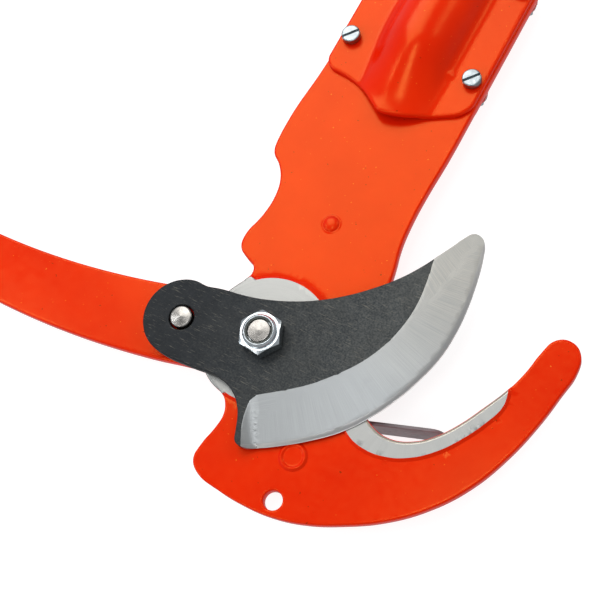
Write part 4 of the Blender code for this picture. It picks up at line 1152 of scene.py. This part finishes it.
def make_spring():
    low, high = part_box("return_spring")
    level = (low.z + high.z) / 2
    start = centre("spring_post").xy
    end = Vector((17.0 * MM, centre("lug_rivet").y))
    length = (end - start).length
    way = (end - start).normalized()
    side = Vector((-way.y, way.x))
    route = spring_route(length, level)
    curve = bpy.data.curves.new("spring", "CURVE")
    curve.dimensions = "3D"
    curve.bevel_depth = WIRE_RADIUS
    curve.bevel_resolution = 4
    curve.use_fill_caps = True
    line = curve.splines.new("POLY")
    line.points.add(len(route) - 1)
    for point, (along, across, height) in zip(line.points, route):
        spot = start + way * along + side * across
        point.co = (spot.x, spot.y, height, 1.0)
    wire = bpy.data.objects.new("wire", curve)
    bpy.context.scene.collection.objects.link(wire)
    graph = bpy.context.evaluated_depsgraph_get()
    shape = bmesh.new()
    shape.from_mesh(wire.evaluated_get(graph).to_mesh())
    bpy.data.objects.remove(wire, do_unlink=True)
    spring = smooth(new_object("return_spring_look", shape, [TURNED]), 60.0)
    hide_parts("return_spring")
    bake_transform(spring)


def make_sheave():
    low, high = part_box("pulley_sheave")
    spot = centre("pulley_sheave")
    half = (high.z - low.z) / 2
    upper = in_mm(half, (5.8, 0.0), (7.6, 0.0), (8.2, -0.5), (13.4, -0.5), (14.2, 0.0))
    upper += in_mm(half, (17.0, 0.0), (17.0, -1.2), (13.9, -2.7)) + in_mm(0.0, (12.8, 1.0))
    lower = [(radius, -height) for radius, height in reversed(upper)]
    profile = [(radius, spot.z + height) for radius, height in upper + in_mm(0.0, (12.5, 0.0)) + lower]
    sheave = lathe("pulley_sheave_look", rounded(profile, 0.5 * MM), spot, NYLON)
    dress(sheave, "sheave", "pulley_sheave")


def make_rest():
    """The pieces whose CAD shape only needs soft edges, of a width in millimetres."""
    copies = (
        ("spring_bracket", "head", "black_coating", COAT_AND_PAINTED_REFLECTION, 0.45),
        ("rope_lug", "head", "zinc", ZINC, 0.3),
        ("stop_stud", "head", "bright_steel", TURNED, 0.2),
        ("pivot_bush", "head", "bronze", BRONZE, 0.15),
        ("bolt_washer", "lever", "zinc", ZINC, 0.3),
        ("spring_post", "lever", "bright_steel", TURNED, 0.2),
        ("axle_nut", "lever", "zinc", ZINC, 0.35),
        ("pulley_axle", "lever", "zinc", ZINC, 0.35),
        ("cheek_spacer", "lever", "bright_steel", TURNED, 0.2),
        ("cheek_rivet", "lever", "bright_steel", TURNED, 0.2),
        ("sheave_bush", "lever", "bronze", BRONZE, 0.1),
        ("sheave_washer_front", "lever", "zinc", ZINC, 0.15),
        ("sheave_washer_rear", "lever", "zinc", ZINC, 0.15),
    )
    for node, body, slot, material, width in copies:
        dress(copy_of(node, material, width * MM), body, node)
    for number in range(1, 5):
        node = f"socket_nut_{number}"
        dress(copy_of(node, ZINC, 0.25 * MM), "head", node)


# ---------------------------------------------------------------- studio

OBJECT_MIDDLE = (0.0, 0.03, 0.02)
SOCKET_MIDDLE = (0.0, 0.13, 0.03)


def area_light(name, azimuth, elevation, distance_m, size, watts, color, target=OBJECT_MIDDLE):
    """A rectangular lamp turned to its target, at angles in degrees round it."""
    lamp = bpy.data.lights.new(name, "AREA")
    lamp.shape = "RECTANGLE"
    lamp.size, lamp.size_y = size
    lamp.energy = watts
    lamp.color = color
    made = bpy.data.objects.new(name, lamp)
    bpy.context.scene.collection.objects.link(made)
    a, e = math.radians(azimuth), math.radians(elevation)
    way = Vector((math.cos(a) * math.cos(e), math.sin(a) * math.cos(e), math.sin(e)))
    made.location = Vector(target) + way * distance_m
    made.rotation_mode = "QUATERNION"
    made.rotation_quaternion = (-way).to_track_quat("-Z", "Y")


def make_studio():
    shape = bmesh.new()
    bmesh.ops.create_grid(shape, x_segments=1, y_segments=1, size=3.0)
    floor = Finish("floor", (0.30, 0.30, 0.30), 0.0, 0.9)
    floor.shader.inputs["Emission Color"].default_value = (1.0, 1.0, 1.0, 1.0)
    floor.shader.inputs["Emission Strength"].default_value = 0.86
    ground = new_object("floor", shape, [floor.material])
    ground.location.z = -0.3 * MM
    ground.visible_glossy = False
    world = bpy.data.worlds.new("studio")
    world.use_nodes = True
    back = world.node_tree.nodes["Background"]
    back.inputs["Color"].default_value = (0.95, 0.97, 1.0, 1.0)
    back.inputs["Strength"].default_value = 0.42
    bpy.context.scene.world = world
    area_light("key", 134, 51, 1.2, (0.68, 0.85), 6.4, (1.0, 0.985, 0.96))
    area_light("left", 218, 34, 1.0, (0.25, 0.6), 1.4, (0.93, 0.97, 1.0))
    area_light("right", 62, 38, 1.0, (0.3, 0.5), 1.1, (1.0, 0.97, 0.92))
    area_light("front", -103, 46, 1.0, (0.3, 0.3), 1.2, (1.0, 0.98, 0.95))
    area_light("strip_left", 193, 46, 1.1, (0.09, 0.45), 1.0, (0.96, 0.98, 1.0), SOCKET_MIDDLE)
    area_light("strip_top", -70, 80, 1.1, (0.16, 0.5), 1.7, (0.96, 0.98, 1.0), SOCKET_MIDDLE)
    scene = bpy.context.scene
    scene.view_settings.view_transform = "Standard"
    scene.view_settings.look = "None"


def make_camera():
    """The photograph's camera, from its place and the directions to its right and up."""
    right = Vector((0.8516, 0.4777, -0.2158))
    up = Vector((-0.3909, 0.8531, 0.3457))
    back = right.cross(up).normalized()
    up = back.cross(right).normalized()
    right.normalize()
    lens = bpy.data.cameras.new("camera")
    lens.lens = 75.0
    lens.sensor_width = 36.0
    lens.clip_start = 0.01
    camera = bpy.data.objects.new("camera", lens)
    bpy.context.scene.collection.objects.link(camera)
    turn = Matrix((right, up, back)).transposed().to_4x4()
    camera.matrix_world = Matrix.Translation((0.18688, -0.08819, 0.49798)) @ turn
    bpy.context.scene.camera = camera


make_plate()
make_blade()
make_flat("lever_arm", "lever", PAINT, 0.95 * MM)
make_flat("pulley_cheek", "lever", ZINC, 0.35 * MM)
make_shell("front_socket_shell", 1)
make_shell("rear_socket_shell", -1)
make_screws()
make_pivot()
make_rivets()
make_spring()
make_sheave()
make_rest()
make_studio()
make_camera()
